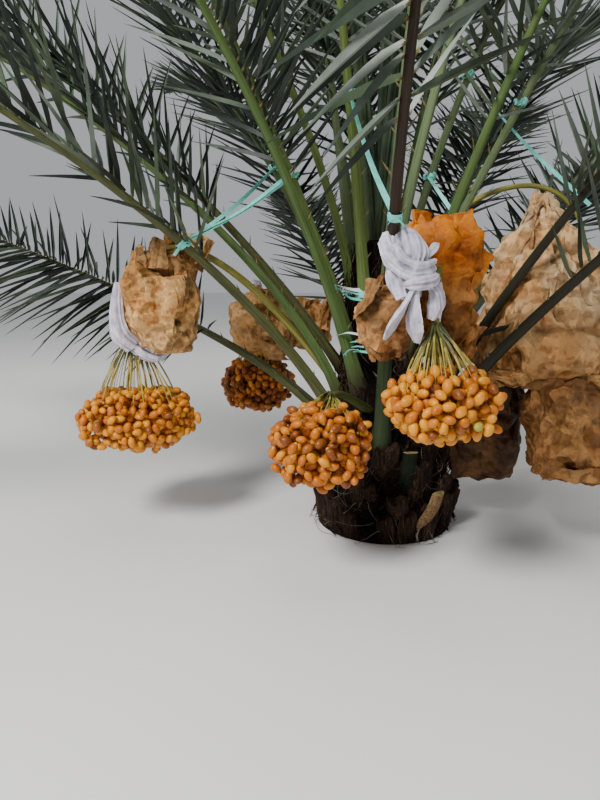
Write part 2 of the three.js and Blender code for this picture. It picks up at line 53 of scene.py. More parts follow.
def unit(vectors):
    return vectors / np.linalg.norm(vectors, axis=-1, keepdims=True)


def compass(turn):
    return np.array((math.cos(math.radians(turn)), math.sin(math.radians(turn)), 0.0))


def turned(vectors, axes, angles):
    # Vectors turned about unit axes that are square to them.
    angles = np.asarray(angles)[..., None]
    return vectors * np.cos(angles) + np.cross(axes, vectors) * np.sin(angles)


# Meshes

def leaveEdit():
    if bpy.context.object and bpy.context.object.mode != "OBJECT":
        bpy.ops.object.mode_set(mode="OBJECT")
    bpy.ops.object.select_all(action="DESELECT")


def activate(piece):
    leaveEdit()
    piece.select_set(True)
    bpy.context.view_layer.objects.active = piece


def editAll(piece):
    activate(piece)
    bpy.ops.object.mode_set(mode="EDIT")
    bpy.ops.mesh.select_all(action="SELECT")


def applyModifiers(piece):
    activate(piece)
    for modifier in list(piece.modifiers):
        bpy.ops.object.modifier_apply(modifier=modifier.name)


def faceOut(piece):
    editAll(piece)
    bpy.ops.mesh.normals_make_consistent(inside=False)
    leaveEdit()


def smoothPiece(piece, angle):
    activate(piece)
    bpy.ops.object.shade_smooth_by_angle(angle=math.radians(angle))
    leaveEdit()


def pointsOf(piece):
    points = np.empty(len(piece.data.vertices) * 3, np.float32)
    piece.data.vertices.foreach_get("co", points)
    return points.reshape(-1, 3).astype(float)


def setPoints(piece, points):
    piece.data.vertices.foreach_set("co", points.astype(np.float32).ravel())
    piece.data.update()


def settle(piece):
    # Puts the object at the origin, with its place in its mesh.
    activate(piece)
    bpy.ops.object.transform_apply(location=True, rotation=True, scale=True)
    leaveEdit()


def copyOf(piece, name):
    mesh = piece.data.copy()
    twin = bpy.data.objects.new(name, mesh)
    bpy.context.scene.collection.objects.link(twin)
    return twin


def wear(piece, *materials):
    worn = piece.data.materials
    for index, material in enumerate(materials):
        if index < len(worn):
            worn[index] = material
        else:
            worn.append(material)


def joined(pieces, name):
    activate(pieces[0])
    for piece in pieces:
        piece.select_set(True)
    bpy.ops.object.join()
    pieces[0].name = name
    leaveEdit()
    return pieces[0]


def discard(piece):
    bpy.data.objects.remove(piece)


def finishPiece(piece, slot, *nodes):
    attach(piece, "root")
    if nodes:
        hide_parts(*nodes)


class Heap:
    # Triangles of many small shapes, gathered into one joined mesh.
    def __init__(self):
        self.points, self.corners, self.looks, self.count = [], [], [], 0

    def add(self, points, corners, look=0):
        self.points.append(points)
        self.corners.append(corners + self.count)
        self.looks.append(np.broadcast_to(look, len(corners)))
        self.count += len(points)

    def build(self, name, materials, smooth=35):
        points = np.concatenate(self.points).astype(np.float32)
        corners = np.concatenate(self.corners).astype(np.int32)
        mesh = bpy.data.meshes.new(name)
        mesh.vertices.add(len(points))
        mesh.vertices.foreach_set("co", points.ravel())
        mesh.loops.add(corners.size)
        mesh.loops.foreach_set("vertex_index", corners.ravel())
        mesh.polygons.add(len(corners))
        mesh.polygons.foreach_set("loop_start", np.arange(0, corners.size, 3, dtype=np.int32))
        mesh.polygons.foreach_set("material_index", np.concatenate(self.looks).astype(np.int32))
        mesh.update(calc_edges=True)
        piece = bpy.data.objects.new(name, mesh)
        bpy.context.scene.collection.objects.link(piece)
        wear(piece, *materials)
        smoothPiece(piece, smooth)
        return piece


def ringCorners(count, sides):
    # Triangles between rings of points, then the order round one ring.
    j = np.arange(sides)
    following = (j + 1) % sides
    starts = np.arange(count - 1)[:, None] * sides
    a, b = (starts + j).ravel(), (starts + following).ravel()
    walls = np.concatenate((np.stack((a, b, b + sides), 1), np.stack((a, b + sides, a + sides), 1)))
    return walls, j, following


def skin(rings):
    # A closed skin over rings of equal counts, with a point in the middle of each end.
    count, sides = rings.shape[:2]
    walls, j, following = ringCorners(count, sides)
    last, foot, head = (count - 1) * sides, count * sides, count * sides + 1
    corners = np.concatenate((
        walls,
        np.stack((following, j, np.full(sides, foot)), 1),
        np.stack((last + j, last + following, np.full(sides, head)), 1),
    ))
    points = np.concatenate((rings.reshape(-1, 3), rings[0].mean(0)[None], rings[-1].mean(0)[None]))
    p, q, r = (points[corners[:, k]] for k in range(3))
    inside = (p * np.cross(q, r)).sum() < 0
    return points, corners[:, ::-1] if inside else corners


def framesAlong(path):
    along = unit(np.gradient(path, axis=0))
    start = np.cross(along[0], up)
    if np.linalg.norm(start) < 0.1:
        start = np.cross(along[0], (1.0, 0.0, 0.0))
    right = np.empty_like(along)
    carried = start
    for i, heading in enumerate(along):
        carried = unit(carried - heading * carried.dot(heading))
        right[i] = carried
    return along, right, np.cross(right, along)


def swept(path, section, grow, roll=0.0):
    # A section, as (across, over) points, carried along a path and grown at each step.
    along, right, over = framesAlong(path)
    rolls = np.broadcast_to(roll, len(path))
    right, over = turned(right, along, rolls), turned(over, along, rolls)
    grow = np.broadcast_to(np.asarray(grow, float), (len(path),) if np.ndim(grow) < 2 else np.shape(grow))
    sizes = np.stack((grow, grow), 1) if grow.ndim == 1 else grow
    section = np.asarray(section)
    return skin(
        path[:, None, :]
        + right[:, None, :] * (section[None, :, 0, None] * sizes[:, None, :1])
        + over[:, None, :] * (section[None, :, 1, None] * sizes[:, None, 1:])
    )


def roundSection(sides, flat=1.0):
    angles = np.arange(sides) * 2 * math.pi / sides
    return np.stack((np.cos(angles), flat * np.sin(angles)), 1)


def bezier(points, steps):
    t = np.linspace(0, 1, steps + 1)[:, None]
    a, b, c, d = (np.asarray(point, float) for point in points)
    return a * (1 - t) ** 3 + 3 * b * t * (1 - t) ** 2 + 3 * c * t * t * (1 - t) + d * t ** 3


def throughPoints(points, steps):
    # A smooth path through given points.
    points = np.asarray(points, float)
    padded = np.concatenate((2 * points[:1] - points[1:2], points, 2 * points[-1:] - points[-2:-1]))
    parts = []
    for i in range(len(points) - 1):
        a, b, c, d = padded[i:i + 4]
        t = np.linspace(0, 1, steps, endpoint=False)[:, None]
        parts.append(0.5 * (2 * b + (c - a) * t + (2 * a - 5 * b + 4 * c - d) * t * t
                            + (3 * b - a - 3 * c + d) * t ** 3))
    return np.concatenate(parts + [points[-1:]])


# Materials

black, white = (0, 0, 0), (1, 1, 1)


def feed(tree, socket, value):
    if isinstance(value, bpy.types.NodeSocket):
        tree.links.new(value, socket)
    else:
        socket.default_value = value


def made(tree, kind, inputs=(), **settings):
    # A shader node, with each input set to a value or linked to another node's socket.
    node = tree.nodes.new("ShaderNode" + kind)
    for name, value in settings.items():
        setattr(node, name, value)
    for socket, value in dict(inputs).items():
        feed(tree, node.inputs[socket], value)
    return node


def startMaterial(name, roughness, sockets=()):
    material = bpy.data.materials.new(name)
    material.use_nodes = True
    tree = material.node_tree
    shader = tree.nodes["Principled BSDF"]
    for socket, value in {"Roughness": roughness, **dict(sockets)}.items():
        shader.inputs[socket].default_value = value
    return material, tree, shader


def spotOf(tree):
    return made(tree, "TexCoord").outputs["Object"]


def heightOf(tree, spot):
    return made(tree, "SeparateXYZ", {"Vector": spot}).outputs["Z"]


def grained(tree, spot, grain):
    return made(tree, "Mapping", {"Vector": spot, "Scale": grain}).outputs["Vector"]


def noiseOf(tree, spot, scale, grain=(1, 1, 1), detail=5, warp=0.0):
    return made(tree, "TexNoise", {"Vector": grained(tree, spot, grain), "Scale": scale,
                                   "Detail": detail, "Distortion": warp}).outputs["Fac"]


def rampOf(tree, factor, stops):
    node = made(tree, "ValToRGB", {"Fac": factor})
    elements = node.color_ramp.elements
    while len(elements) < len(stops):
        elements.new(0.5)
    for element, (position, colour) in zip(elements, stops):
        element.position = position
        element.color = (*colour, 1)
    return node.outputs["Color"]


def blend(tree, factor, first, second, kind="MIX"):
    node = made(tree, "Mix", data_type="RGBA", blend_type=kind)
    for number, value in ((0, factor), (6, first), (7, second)):
        feed(tree, node.inputs[number], (*value, 1) if isinstance(value, tuple) else value)
    return node.outputs[2]


def scaledSum(tree, first, times, second):
    return made(tree, "VectorMath", {0: first, 1: times, 2: second},
                operation="MULTIPLY_ADD").outputs["Vector"]


def bumpOf(tree, shader, height, strength, distance, before=None):
    node = made(tree, "Bump", {"Height": height, "Strength": strength, "Distance": distance})
    if before is not None:
        tree.links.new(before, node.inputs["Normal"])
    tree.links.new(node.outputs["Normal"], shader.inputs["Normal"])


def tinted(name, low, high, roughness, scale, relief=(0.3, 0.001), specular=0.5, stops=(0.35, 0.65)):
    # A colour that drifts between two, with relief of the same grain.
    material, tree, shader = startMaterial(name, roughness, {"Specular IOR Level": specular})
    drift = noiseOf(tree, spotOf(tree), scale)
    tree.links.new(rampOf(tree, drift, list(zip(stops, (low, high)))), shader.inputs["Base Color"])
    bumpOf(tree, shader, drift, *relief)
    return material


def ribMaterial(name, low, body, streakAndSheen, upper=None):
    # Smooth stalk skin: brown fibre at the foot, then a waxy colour with faint paler lengthwise streaks,
    # which are partly real streaking and partly a painted highlight.
    material, tree, shader = startMaterial(name, 0.42, {"Specular IOR Level": 0.2})
    run = made(tree, "Attribute", attribute_name="run").outputs["Vector"]
    share = heightOf(tree, run)
    streaks = noiseOf(tree, run, 3.0, (2.2, 2.2, 5.0), 6)
    # The paler streak colour is partly real streaking and partly a painted highlight.
    colour = rampOf(tree, streaks, [(0.34, body), (0.52, streakAndSheen), (0.7, body)])
    if upper:
        higher = rampOf(tree, share, [(0.16, black), (0.27, white)])
        colour = blend(tree, higher, colour, rampOf(tree, streaks, [(0.36, upper[0]), (0.62, upper[1])]))
    foot = rampOf(tree, share, [(0.012, white), (0.05, black)])
    tree.links.new(blend(tree, foot, colour, low), shader.inputs["Base Color"])
    bumpOf(tree, shader, noiseOf(tree, run, 8.0, (6, 6, 3), 4), 0.25, 0.0012)
    return material


def foldShade(tree, colour, stops):
    # Painted shade: valleys darkened by multiplying the colour with a ramp read from how far each point lies
    # below its surroundings.
    depth = made(tree, "Attribute", attribute_name="fold").outputs["Fac"]
    return blend(tree, 1.0, colour, rampOf(tree, depth, stops), "MULTIPLY")


# Each row of cells: size, grain, how far they lean, and their darkest and palest tones, which are the painted
# shade and light of each facet.
kraft = {
    "roughness": 0.62, "specular": 0.3, "mottle": 6.0, "wander": 9, "wanderBy": 0.03,
    # The folds are the ramp of painted shade in the creases.
    "folds": [(0.3, white), (0.55, (0.93, 0.92, 0.91)), (0.85, (0.66, 0.6, 0.55))],
    "cells": ((15, (1, 1, 0.6), 0.5, 0.56, 1.0), (38, (0.7, 1, 1), 0.4, 0.72, 1.0),
              (100, (1, 1, 0.8), 0.2, 0.92, 1.0)),
    "fibre": 420.0, "fibreGrain": (1, 1, 0.4), "fibreRelief": (0.12, 0.0006),
}


def ownWays(tree, spot, before, colour, scale, grain, lean, darkest, palest):
    # Each straight-edged cell of the crumple faces its own way and gets its own painted facet shade, from a
    # little darker to a little paler.
    cells = made(tree, "TexVoronoi", {"Vector": grained(tree, spot, grain), "Scale": scale}).outputs["Color"]
    tilt = scaledSum(tree, cells, (2 * lean,) * 3, (-lean,) * 3)
    total = made(tree, "VectorMath", {0: before, 1: tilt}, operation="ADD").outputs["Vector"]
    facing = made(tree, "VectorMath", {0: total}, operation="NORMALIZE").outputs["Vector"]
    pick = made(tree, "SeparateXYZ", {"Vector": cells}).outputs["X"]
    # Painted shade and light for this facet.
    tone = rampOf(tree, pick, [(0.1, (darkest,) * 3), (0.9, (palest,) * 3)])
    return facing, blend(tree, 1.0, colour, tone, "MULTIPLY")


def kraftMaterial(name, light, body, deep, lower=None, between=(0.86, 0.95)):
    # Dry brown paper: mottled, creased into small flat facets, finely fibrous, with painted shade in its
    # creases and painted light and shade on its facets.
    inputs = {"Specular IOR Level": kraft["specular"]}
    material, tree, shader = startMaterial(name, kraft["roughness"], inputs)
    spot = spotOf(tree)
    mottle = noiseOf(tree, spot, kraft["mottle"], detail=7, warp=0.8)
    colour = rampOf(tree, mottle, [(0.35, deep), (0.48, body), (0.63, light)])
    # Below the given heights the paper takes the lower colours: on the right bag's paper the paler top is
    # painted light, on the orange paper it is a tan lower part.
    if lower:
        higher = rampOf(tree, heightOf(tree, spot), list(zip(between, (black, white))))
        colour = blend(tree, higher, rampOf(tree, mottle, [(0.35, lower[0]), (0.6, lower[1])]), colour)
    # Painted shade in the creases.
    colour = foldShade(tree, colour, kraft["folds"])
    wander = made(tree, "TexNoise", {"Vector": spot, "Scale": kraft["wander"]}).outputs["Color"]
    bent = scaledSum(tree, wander, (kraft["wanderBy"],) * 3, spot)
    facing = made(tree, "NewGeometry").outputs["Normal"]
    # Facets tilted and given painted shade and light, the broad ones first.
    for row in kraft["cells"]:
        facing, colour = ownWays(tree, bent, facing, colour, *row)
    tree.links.new(colour, shader.inputs["Base Color"])
    fibre = noiseOf(tree, spot, kraft["fibre"], kraft["fibreGrain"], 3)
    bumpOf(tree, shader, fibre, *kraft["fibreRelief"], facing)
    return material


def fruitMaterial(name, light, deep):
    # Satin skin with a faint bloom and small paler specks.
    material, tree, shader = startMaterial(name, 0.38, {"Specular IOR Level": 0.32})
    spot = spotOf(tree)
    drift = noiseOf(tree, spot, 38.0, detail=4)
    base = rampOf(tree, drift, [(0.35, deep), (0.62, light)])
    specks = rampOf(tree, noiseOf(tree, spot, 420.0, detail=2), [(0.62, black), (0.72, white)])
    paler = tuple(min(1.0, channel * 1.25 + 0.04) for channel in light)
    tree.links.new(blend(tree, specks, base, paler), shader.inputs["Base Color"])
    bumpOf(tree, shader, drift, 0.15, 0.0015)
    return material


def leafMaterial(name, light, body, deep):
    # Waxy blade that drifts between three greens, with fine veins.
    material, tree, shader = startMaterial(name, 0.48, {"Specular IOR Level": 0.24})
    spot = spotOf(tree)
    drift = noiseOf(tree, spot, 5.0, detail=4)
    colour = rampOf(tree, drift, [(0.36, deep), (0.5, body), (0.66, light)])
    tree.links.new(colour, shader.inputs["Base Color"])
    bumpOf(tree, shader, noiseOf(tree, spot, 160.0, detail=2), 0.12, 0.0008)
    return material


def fibreMaterial(name, light, body, deep):
    # Matted fibre that runs up the trunk.
    material, tree, shader = startMaterial(name, 0.92, {"Specular IOR Level": 0.1})
    spot = spotOf(tree)
    strands = noiseOf(tree, spot, 1.0, (170, 170, 16), 8, 0.8)
    patches = noiseOf(tree, spot, 9.0, (1, 1, 0.6), 5)
    fine = rampOf(tree, strands, [(0.36, deep), (0.52, body), (0.7, light)])
    shade = rampOf(tree, patches, [(0.35, (0.35, 0.32, 0.3)), (0.62, white)])
    tree.links.new(blend(tree, 1.0, fine, shade, "MULTIPLY"), shader.inputs["Base Color"])
    bumpOf(tree, shader, strands, 0.8, 0.006)
    return material


def netMaterial(name, deep, light):
    # Soft white gauze, with painted lavender-grey shade through its weave and painted shade in its folds.
    material, tree, shader = startMaterial(name, 0.85, {"Sheen Weight": 0.25})
    weave = noiseOf(tree, spotOf(tree), 60, (1, 1, 0.4))
    colour = rampOf(tree, weave, [(0.3, deep), (0.7, light)])
    # Painted shade in the folds.
    colour = foldShade(tree, colour, [(0.3, white), (0.5, (0.86, 0.85, 0.88)), (0.7, (0.44, 0.41, 0.48))])
    tree.links.new(colour, shader.inputs["Base Color"])
    bumpOf(tree, shader, weave, 0.35, 0.003)
    return material


# Fibre, leaves and paper: palest, middle and darkest. Ribs: foot, middle, and a paler streak colour that is
# also painted sheen. Tints: low and high.
colours = (
    (fibreMaterial, {
        "fibreDark": ((0.05, 0.033, 0.024), (0.017, 0.012, 0.009), (0.004, 0.003, 0.003)),
        "fibreRed": ((0.1, 0.048, 0.028), (0.045, 0.02, 0.012), (0.012, 0.006, 0.004)),
        "bootBrown": ((0.085, 0.045, 0.028), (0.034, 0.019, 0.012), (0.009, 0.006, 0.005)),
    }),
    (ribMaterial, {
        "ribGreen": ((0.035, 0.023, 0.013), (0.032, 0.062, 0.015), (0.085, 0.13, 0.036)),
        "ribYellow": ((0.04, 0.028, 0.015), (0.062, 0.1, 0.022), (0.135, 0.18, 0.05)),
        "ribPale": ((0.045, 0.032, 0.02), (0.078, 0.12, 0.052), (0.145, 0.19, 0.09)),
        "ribOlive": ((0.03, 0.02, 0.011), (0.022, 0.028, 0.009), (0.085, 0.09, 0.028)),
        "ribBrown": ((0.018, 0.013, 0.008), (0.009, 0.009, 0.005), (0.026, 0.023, 0.012)),
        "ribTwoTone": ((0.018, 0.013, 0.008), (0.012, 0.024, 0.007), (0.03, 0.05, 0.015),
                       ((0.012, 0.007, 0.005), (0.036, 0.02, 0.012))),
        "stalk": ((0.07, 0.05, 0.02), (0.12, 0.12, 0.02), (0.27, 0.24, 0.055)),
        "stalkGreen": ((0.04, 0.03, 0.015), (0.03, 0.042, 0.011), (0.09, 0.1, 0.028)),
    }),
    (leafMaterial, {
        # Leaf greens are set dark to paint in the shade of a crown seen from below; the darkest green is both
        # a darker leaf and painted shade for the fronds dealt it.
        "leafGrey": ((0.165, 0.2, 0.158), (0.092, 0.12, 0.09), (0.045, 0.062, 0.046)),
        "leafGreen": ((0.1, 0.138, 0.078), (0.052, 0.076, 0.042), (0.024, 0.037, 0.021)),
        "leafDark": ((0.042, 0.057, 0.04), (0.02, 0.029, 0.021), (0.008, 0.012, 0.009)),
        "leafPale": ((0.3, 0.33, 0.28), (0.2, 0.23, 0.19), (0.12, 0.145, 0.115)),
    }),
    (fruitMaterial, {
        "fruitGold": ((0.7, 0.29, 0.01), (0.55, 0.17, 0.004)),
        "fruitOrange": ((0.54, 0.165, 0.005), (0.38, 0.09, 0.002)),
        "fruitAmber": ((0.3, 0.085, 0.008), (0.15, 0.035, 0.004)),
        "fruitUnripe": ((0.42, 0.38, 0.05), (0.3, 0.3, 0.03)),
    }),
    (kraftMaterial, {
        "kraftTan": ((1.0, 0.6, 0.25), (0.94, 0.49, 0.165), (0.78, 0.34, 0.09)),
        "kraftOrange": ((1.0, 0.33, 0.012), (0.86, 0.24, 0.006), (0.62, 0.14, 0.003),
                        ((0.5, 0.18, 0.03), (0.76, 0.31, 0.07))),
        # Tan paper with painted light: paler at the top, with its lower colours below.
        "kraftPale": ((1.0, 0.74, 0.44), (0.98, 0.61, 0.28), (0.86, 0.43, 0.15),
                      ((0.66, 0.29, 0.08), (0.9, 0.48, 0.17)), (0.62, 0.93)),
        "kraftBrown": ((0.72, 0.38, 0.14), (0.56, 0.26, 0.08), (0.34, 0.135, 0.036)),
        "kraftShade": ((0.52, 0.25, 0.075), (0.4, 0.17, 0.045), (0.25, 0.09, 0.022)),
        # Kraft paper darkened with painted shade, for the bag under the right one.
        "kraftDark": ((0.22, 0.1, 0.03), (0.14, 0.058, 0.016), (0.07, 0.027, 0.008)),
    }),
    (netMaterial, {"net": ((0.44, 0.41, 0.5), (0.86, 0.83, 0.9))}),
    (tinted, {
        "fibrePale": ((0.08, 0.062, 0.048), (0.22, 0.18, 0.145), 0.85, 40),
        "bootCut": ((0.1, 0.055, 0.025), (0.27, 0.17, 0.075), 0.85, 130, (0.6, 0.003), 0.15),
        "stubGreen": ((0.002, 0.004, 0.001), (0.007, 0.011, 0.003), 0.5, 24, (0.3, 0.001), 0.12),
        "stubCut": ((0.13, 0.09, 0.03), (0.3, 0.23, 0.09), 0.7, 60),
        "callus": ((0.08, 0.055, 0.02), (0.2, 0.15, 0.055), 0.6, 90),
        "strand": ((0.24, 0.2, 0.028), (0.5, 0.38, 0.075), 0.5, 30),
        "strandGreen": ((0.04, 0.05, 0.012), (0.12, 0.125, 0.03), 0.5, 30),
        "tape": ((0.1, 0.52, 0.42), (0.26, 0.76, 0.66), 0.35, 26, (0.2, 0.002), 0.5, (0.3, 0.7)),
        "tapePale": ((0.5, 0.66, 0.62), (0.74, 0.84, 0.8), 0.4, 26, (0.3, 0.001), 0.5, (0.3, 0.7)),
    }),
)
looks = {name: maker(name, *values) for maker, table in colours for name, values in table.items()}
print("materials made")


# Stage: pale floor, soft light from an overcast sky, the photograph's camera

stage = {
    "eye": (-0.322, -2.2, 0.92), "pitch": 11.75, "lens": 27.05, "film": 36, "nearest": 0.02,
    "floor": (0.8, 0.79, 0.76), "floorSize": 60, "floorBelow": 0.002,
    "sky": (0.92, 0.95, 1.0), "skyPower": 0.45,
    "lights": (("overhead", (0.4, 0.4, 6.8), (0.0, 0.0, 0.6), 4.0, 300),
               ("front", (-2.6, -3.8, 4.4), (0.0, 0.0, 0.7), 1.4, 420)),
}


def makeStage():
    camera = bpy.data.objects.new("camera", bpy.data.cameras.new("camera"))
    camera.location = stage["eye"]
    camera.rotation_euler = (math.radians(90 - stage["pitch"]), 0, 0)
    camera.data.lens = stage["lens"]
    camera.data.sensor_width = stage["film"]
    camera.data.clip_start = stage["nearest"]
    bpy.context.scene.collection.objects.link(camera)
    bpy.context.scene.camera = camera

    world = bpy.data.worlds.new("sky")
    world.use_nodes = True
    sky = world.node_tree.nodes["Background"]
    sky.inputs["Color"].default_value = (*stage["sky"], 1)
    sky.inputs["Strength"].default_value = stage["skyPower"]
    bpy.context.scene.world = world

    for name, place, target, size, power in stage["lights"]:
        light = bpy.data.objects.new(name, bpy.data.lights.new(name, "AREA"))
        light.data.size = size
        light.data.energy = power
        light.location = place
        light.rotation_euler = (Vector(target) - Vector(place)).to_track_quat("-Z", "Y").to_euler()
        bpy.context.scene.collection.objects.link(light)

    leaveEdit()
    bpy.ops.mesh.primitive_plane_add(size=stage["floorSize"], location=(0, 0, -stage["floorBelow"]))
    floor = bpy.context.object
    floor.name = "floor"
    wear(floor, tinted("floor", stage["floor"], stage["floor"], 0.9, 3))
    settle(floor)


makeStage()


# Trunk: a tapering, leaning stem with a root flare, covered in fibre and the cut bases of old fronds

trunk = {
    "profile": [(0, 0.252), (0.05, 0.228), (0.23, 0.212), (0.34, 0.182), (0.46, 0.142), (0.7, 0.106),
                (0.94, 0.074), (1.04, 0.034)],
    "top": 1.06, "lean": 0.045, "around": 90, "ringEach": 0.02, "relief": 0.014,
    "lumpGrain": (14, 14, 6), "lumpShare": 0.7, "strandGrain": (60, 60, 7), "strandShare": 0.55,
}
trunkHeights, trunkRadii = np.array(trunk["profile"]).T


def trunkRadius(height):
    return float(np.interp(height, trunkHeights, trunkRadii))


def trunkAxis(height):
    return np.array((-trunk["lean"] * height, 0, height))


def trunkPoint(turn, height, share=1.0, out=0.0):
    return compass(turn) * (trunkRadius(height) * share + out) + trunkAxis(height)


def modelTrunk():
    leaveEdit()
    bpy.ops.mesh.primitive_circle_add(vertices=trunk["around"], radius=trunkRadii[0], fill_type="NGON")
    piece = bpy.context.object
    piece.name = "trunkFibre"
    editAll(piece)
    height, radius = 0.0, trunkRadii[0]
    while height < trunkHeights[-1] - 1e-6:
        following = min(height + trunk["ringEach"], trunkHeights[-1])
        step = tuple(trunkAxis(following - height))
        bpy.ops.mesh.extrude_region_move(TRANSFORM_OT_translate={"value": step})
        grow = trunkRadius(following) / radius
        bpy.ops.transform.resize(value=(grow, grow, 1), center_override=tuple(trunkAxis(following)))
        height, radius = following, trunkRadius(following)
    faceOut(piece)
    settle(piece)

    points = pointsOf(piece)
    for point in points:
        away = point - trunkAxis(point[2])
        if point[2] < 1e-4 or np.linalg.norm(away) < 1e-4:
            continue
        lumps = noise.fractal(Vector(point * trunk["lumpGrain"]), 1.0, 2.0, 4)
        strands = noise.fractal(Vector(point * trunk["strandGrain"]), 1.0, 2.0, 3)
        rough = trunk["lumpShare"] * lumps + trunk["strandShare"] * strands
        point += unit(away) * trunk["relief"] * rough
    setPoints(piece, points)
    wear(piece, looks["fibreDark"])
    smoothPiece(piece, 60)
    finishPiece(piece, "trunk_fibre", "trunk")


# The spiral's boots, smaller ones between them, and splayed ones round the foot.
boots = {
    "width": 0.084, "thickness": 0.034, "length": 0.128, "narrows": 0.26, "thins": 0.35, "bulges": 0.25,
    "wraps": 0.06, "crest": 0.012, "rim": 0.003, "hollow": 0.004, "stretch": (1.25, 1.1), "turnEach": 137.5,
    "relief": 0.007, "grain": (50, 50, 12),
    "spiral": {"count": 20, "lowest": 0.025, "highest": 0.265, "tilt": 22, "stand": 0.012},
    "between": {"count": 18, "lowest": 0.04, "highest": 0.36, "tilt": 16, "stand": 0.01, "size": 0.85,
                "ahead": 60},
    "splayed": {"count": 15, "tilt": 9, "stand": -0.006, "sizes": (0.8, 1.25), "stray": 9},
}


def modelBoot():
    # One cut frond base: a thick slab, narrower at its hollowed top.
    leaveEdit()
    bpy.ops.mesh.primitive_cube_add(size=1, scale=(boots["thickness"], boots["width"], boots["length"]))
    piece = bpy.context.object
    settle(piece)
    editAll(piece)
    bpy.ops.mesh.subdivide(number_cuts=3)
    leaveEdit()
    points = pointsOf(piece)
    rise, across = points[:, 2] / boots["length"] + 0.5, points[:, 1] / boots["width"]
    points[:, 1] *= 1 - boots["narrows"] * rise
    points[:, 0] *= 1 - boots["thins"] * rise + boots["bulges"] * (1 - 4 * across ** 2)
    points[:, 0] -= boots["wraps"] * across ** 2 * (1 - rise * 0.4)
    points[:, 2] += boots["crest"] * np.sin(9 * across) * rise
    setPoints(piece, points)
    editAll(piece)
    bpy.ops.mesh.select_all(action="DESELECT")
    leaveEdit()
    for face in piece.data.polygons:
        if face.normal.z > 0.8:
            face.select = True
    activate(piece)
    bpy.ops.object.mode_set(mode="EDIT")
    bpy.ops.mesh.inset(thickness=boots["rim"])
    bpy.ops.transform.translate(value=(0, 0, -boots["hollow"]))
    leaveEdit()
    for face in piece.data.polygons:
        face.material_index = int(face.select)
    softer = piece.modifiers.new("softer", "SUBSURF")
    softer.levels = softer.render_levels = 1
    applyModifiers(piece)
    return piece


def bootPlan(rng):
    # Turn, height, size, tilt and stand of every boot.
    rows = []
    spiral, between, splayed = boots["spiral"], boots["between"], boots["splayed"]
    for i in range(spiral["count"]):
        height = mix(spiral["lowest"], spiral["highest"], i / (spiral["count"] - 1))
        rows.append((i * boots["turnEach"], height, 1.0, spiral["tilt"], spiral["stand"]))
    for i in range(between["count"]):
        height = mix(between["lowest"], between["highest"], i / between["count"])
        turn = i * boots["turnEach"] + between["ahead"]
        rows.append((turn, height, between["size"], between["tilt"], between["stand"]))
    for i in range(splayed["count"]):
        turn = i * 360 / splayed["count"] + rng.uniform(-splayed["stray"], splayed["stray"])
        rows.append((turn, 0.0, rng.uniform(*splayed["sizes"]), splayed["tilt"], splayed["stand"]))
    return rows


def rotated(first, second, angle):
    return (first * math.cos(angle) + second * math.sin(angle),
            second * math.cos(angle) - first * math.sin(angle))


def placeBoots():
    model = modelBoot()
    source = pointsOf(model)
    rng = random.Random(11)
    copies = []
    for i, (turn, height, size, slope, stand) in enumerate(bootPlan(rng)):
        tilt = math.radians(slope + rng.uniform(-7, 9))
        lean = math.radians(rng.uniform(-11, 11))
        thick, broad = boots["stretch"]
        x, y, z = (source * (size * thick, size * broad, size * rng.uniform(0.86, 1.1))).T
        z, y = rotated(z, y, lean)
        x, z = rotated(x, z, tilt)
        out, side = compass(turn), compass(turn + 90)
        seat = trunkPoint(turn, height) + out * stand + up * boots["length"] * size / 2
        placed = seat + x[:, None] * out + y[:, None] * side + z[:, None] * up
        for point in placed:
            point += out * boots["relief"] * noise.fractal(Vector(point * boots["grain"]), 1.0, 2.0, 3)
        placed[:, 2] = np.maximum(placed[:, 2], 0.001)
        twin = copyOf(model, f"boot{i}")
        setPoints(twin, placed)
        copies.append(twin)
    discard(model)
    piece = joined(copies, "trunkBoots")
    wear(piece, looks["bootBrown"], looks["bootCut"])
    smoothPiece(piece, 50)
    finishPiece(piece, "trunk_fibre")


strips = {
    "count": 2400, "highest": 0.98, "end": 1.03, "length": (0.05, 0.2), "drift": 26, "curl": 5,
    "lift": (0.006, 0.03), "strayShare": 0.35, "stray": 0.04, "width": (0.0012, 0.0042),
    "looks": ("fibreDark", "fibreRed", "bootBrown", "fibrePale"), "shares": (0.4, 0.3, 0.24, 0.06),
}
roots = {
    "count": 90, "steps": 13, "each": 0.015, "from": (0.03, 0.36), "veer": 0.3, "downward": (-2.6, -0.6),
    "out": 0.02, "wave": 0.014, "radius": (0.0006, 0.0012), "around": 0.2,
}


def growStrips(rng):
    # Loose strips of leaf-base fibre up the trunk.
    heap = Heap()
    flat = roundSection(4, 0.3)
    for _ in range(strips["count"]):
        height = rng.uniform(0.0, strips["highest"])
        turn = rng.uniform(0, 360)
        length = rng.uniform(*strips["length"])
        drift = rng.normal(0, strips["drift"])
        t = np.linspace(0, 1, 7)
        lift = rng.uniform(*strips["lift"])
        stray = rng.uniform(0, strips["stray"]) if rng.random() < strips["strayShare"] else 0.0
        path = np.array([
            trunkPoint(turn + drift * s + strips["curl"] * math.sin(9 * s + turn),
                       max(0.002, min(height + length * s, strips["end"])), 1.0, lift + stray * s * s)
            for s in t
        ])
        look = rng.choice(4, p=strips["shares"])
        heap.add(*swept(path, flat, rng.uniform(*strips["width"]) * (1 - 0.7 * t)), look)
    finishPiece(heap.build("trunkStrips", [looks[look] for look in strips["looks"]]), "trunk_fibre")


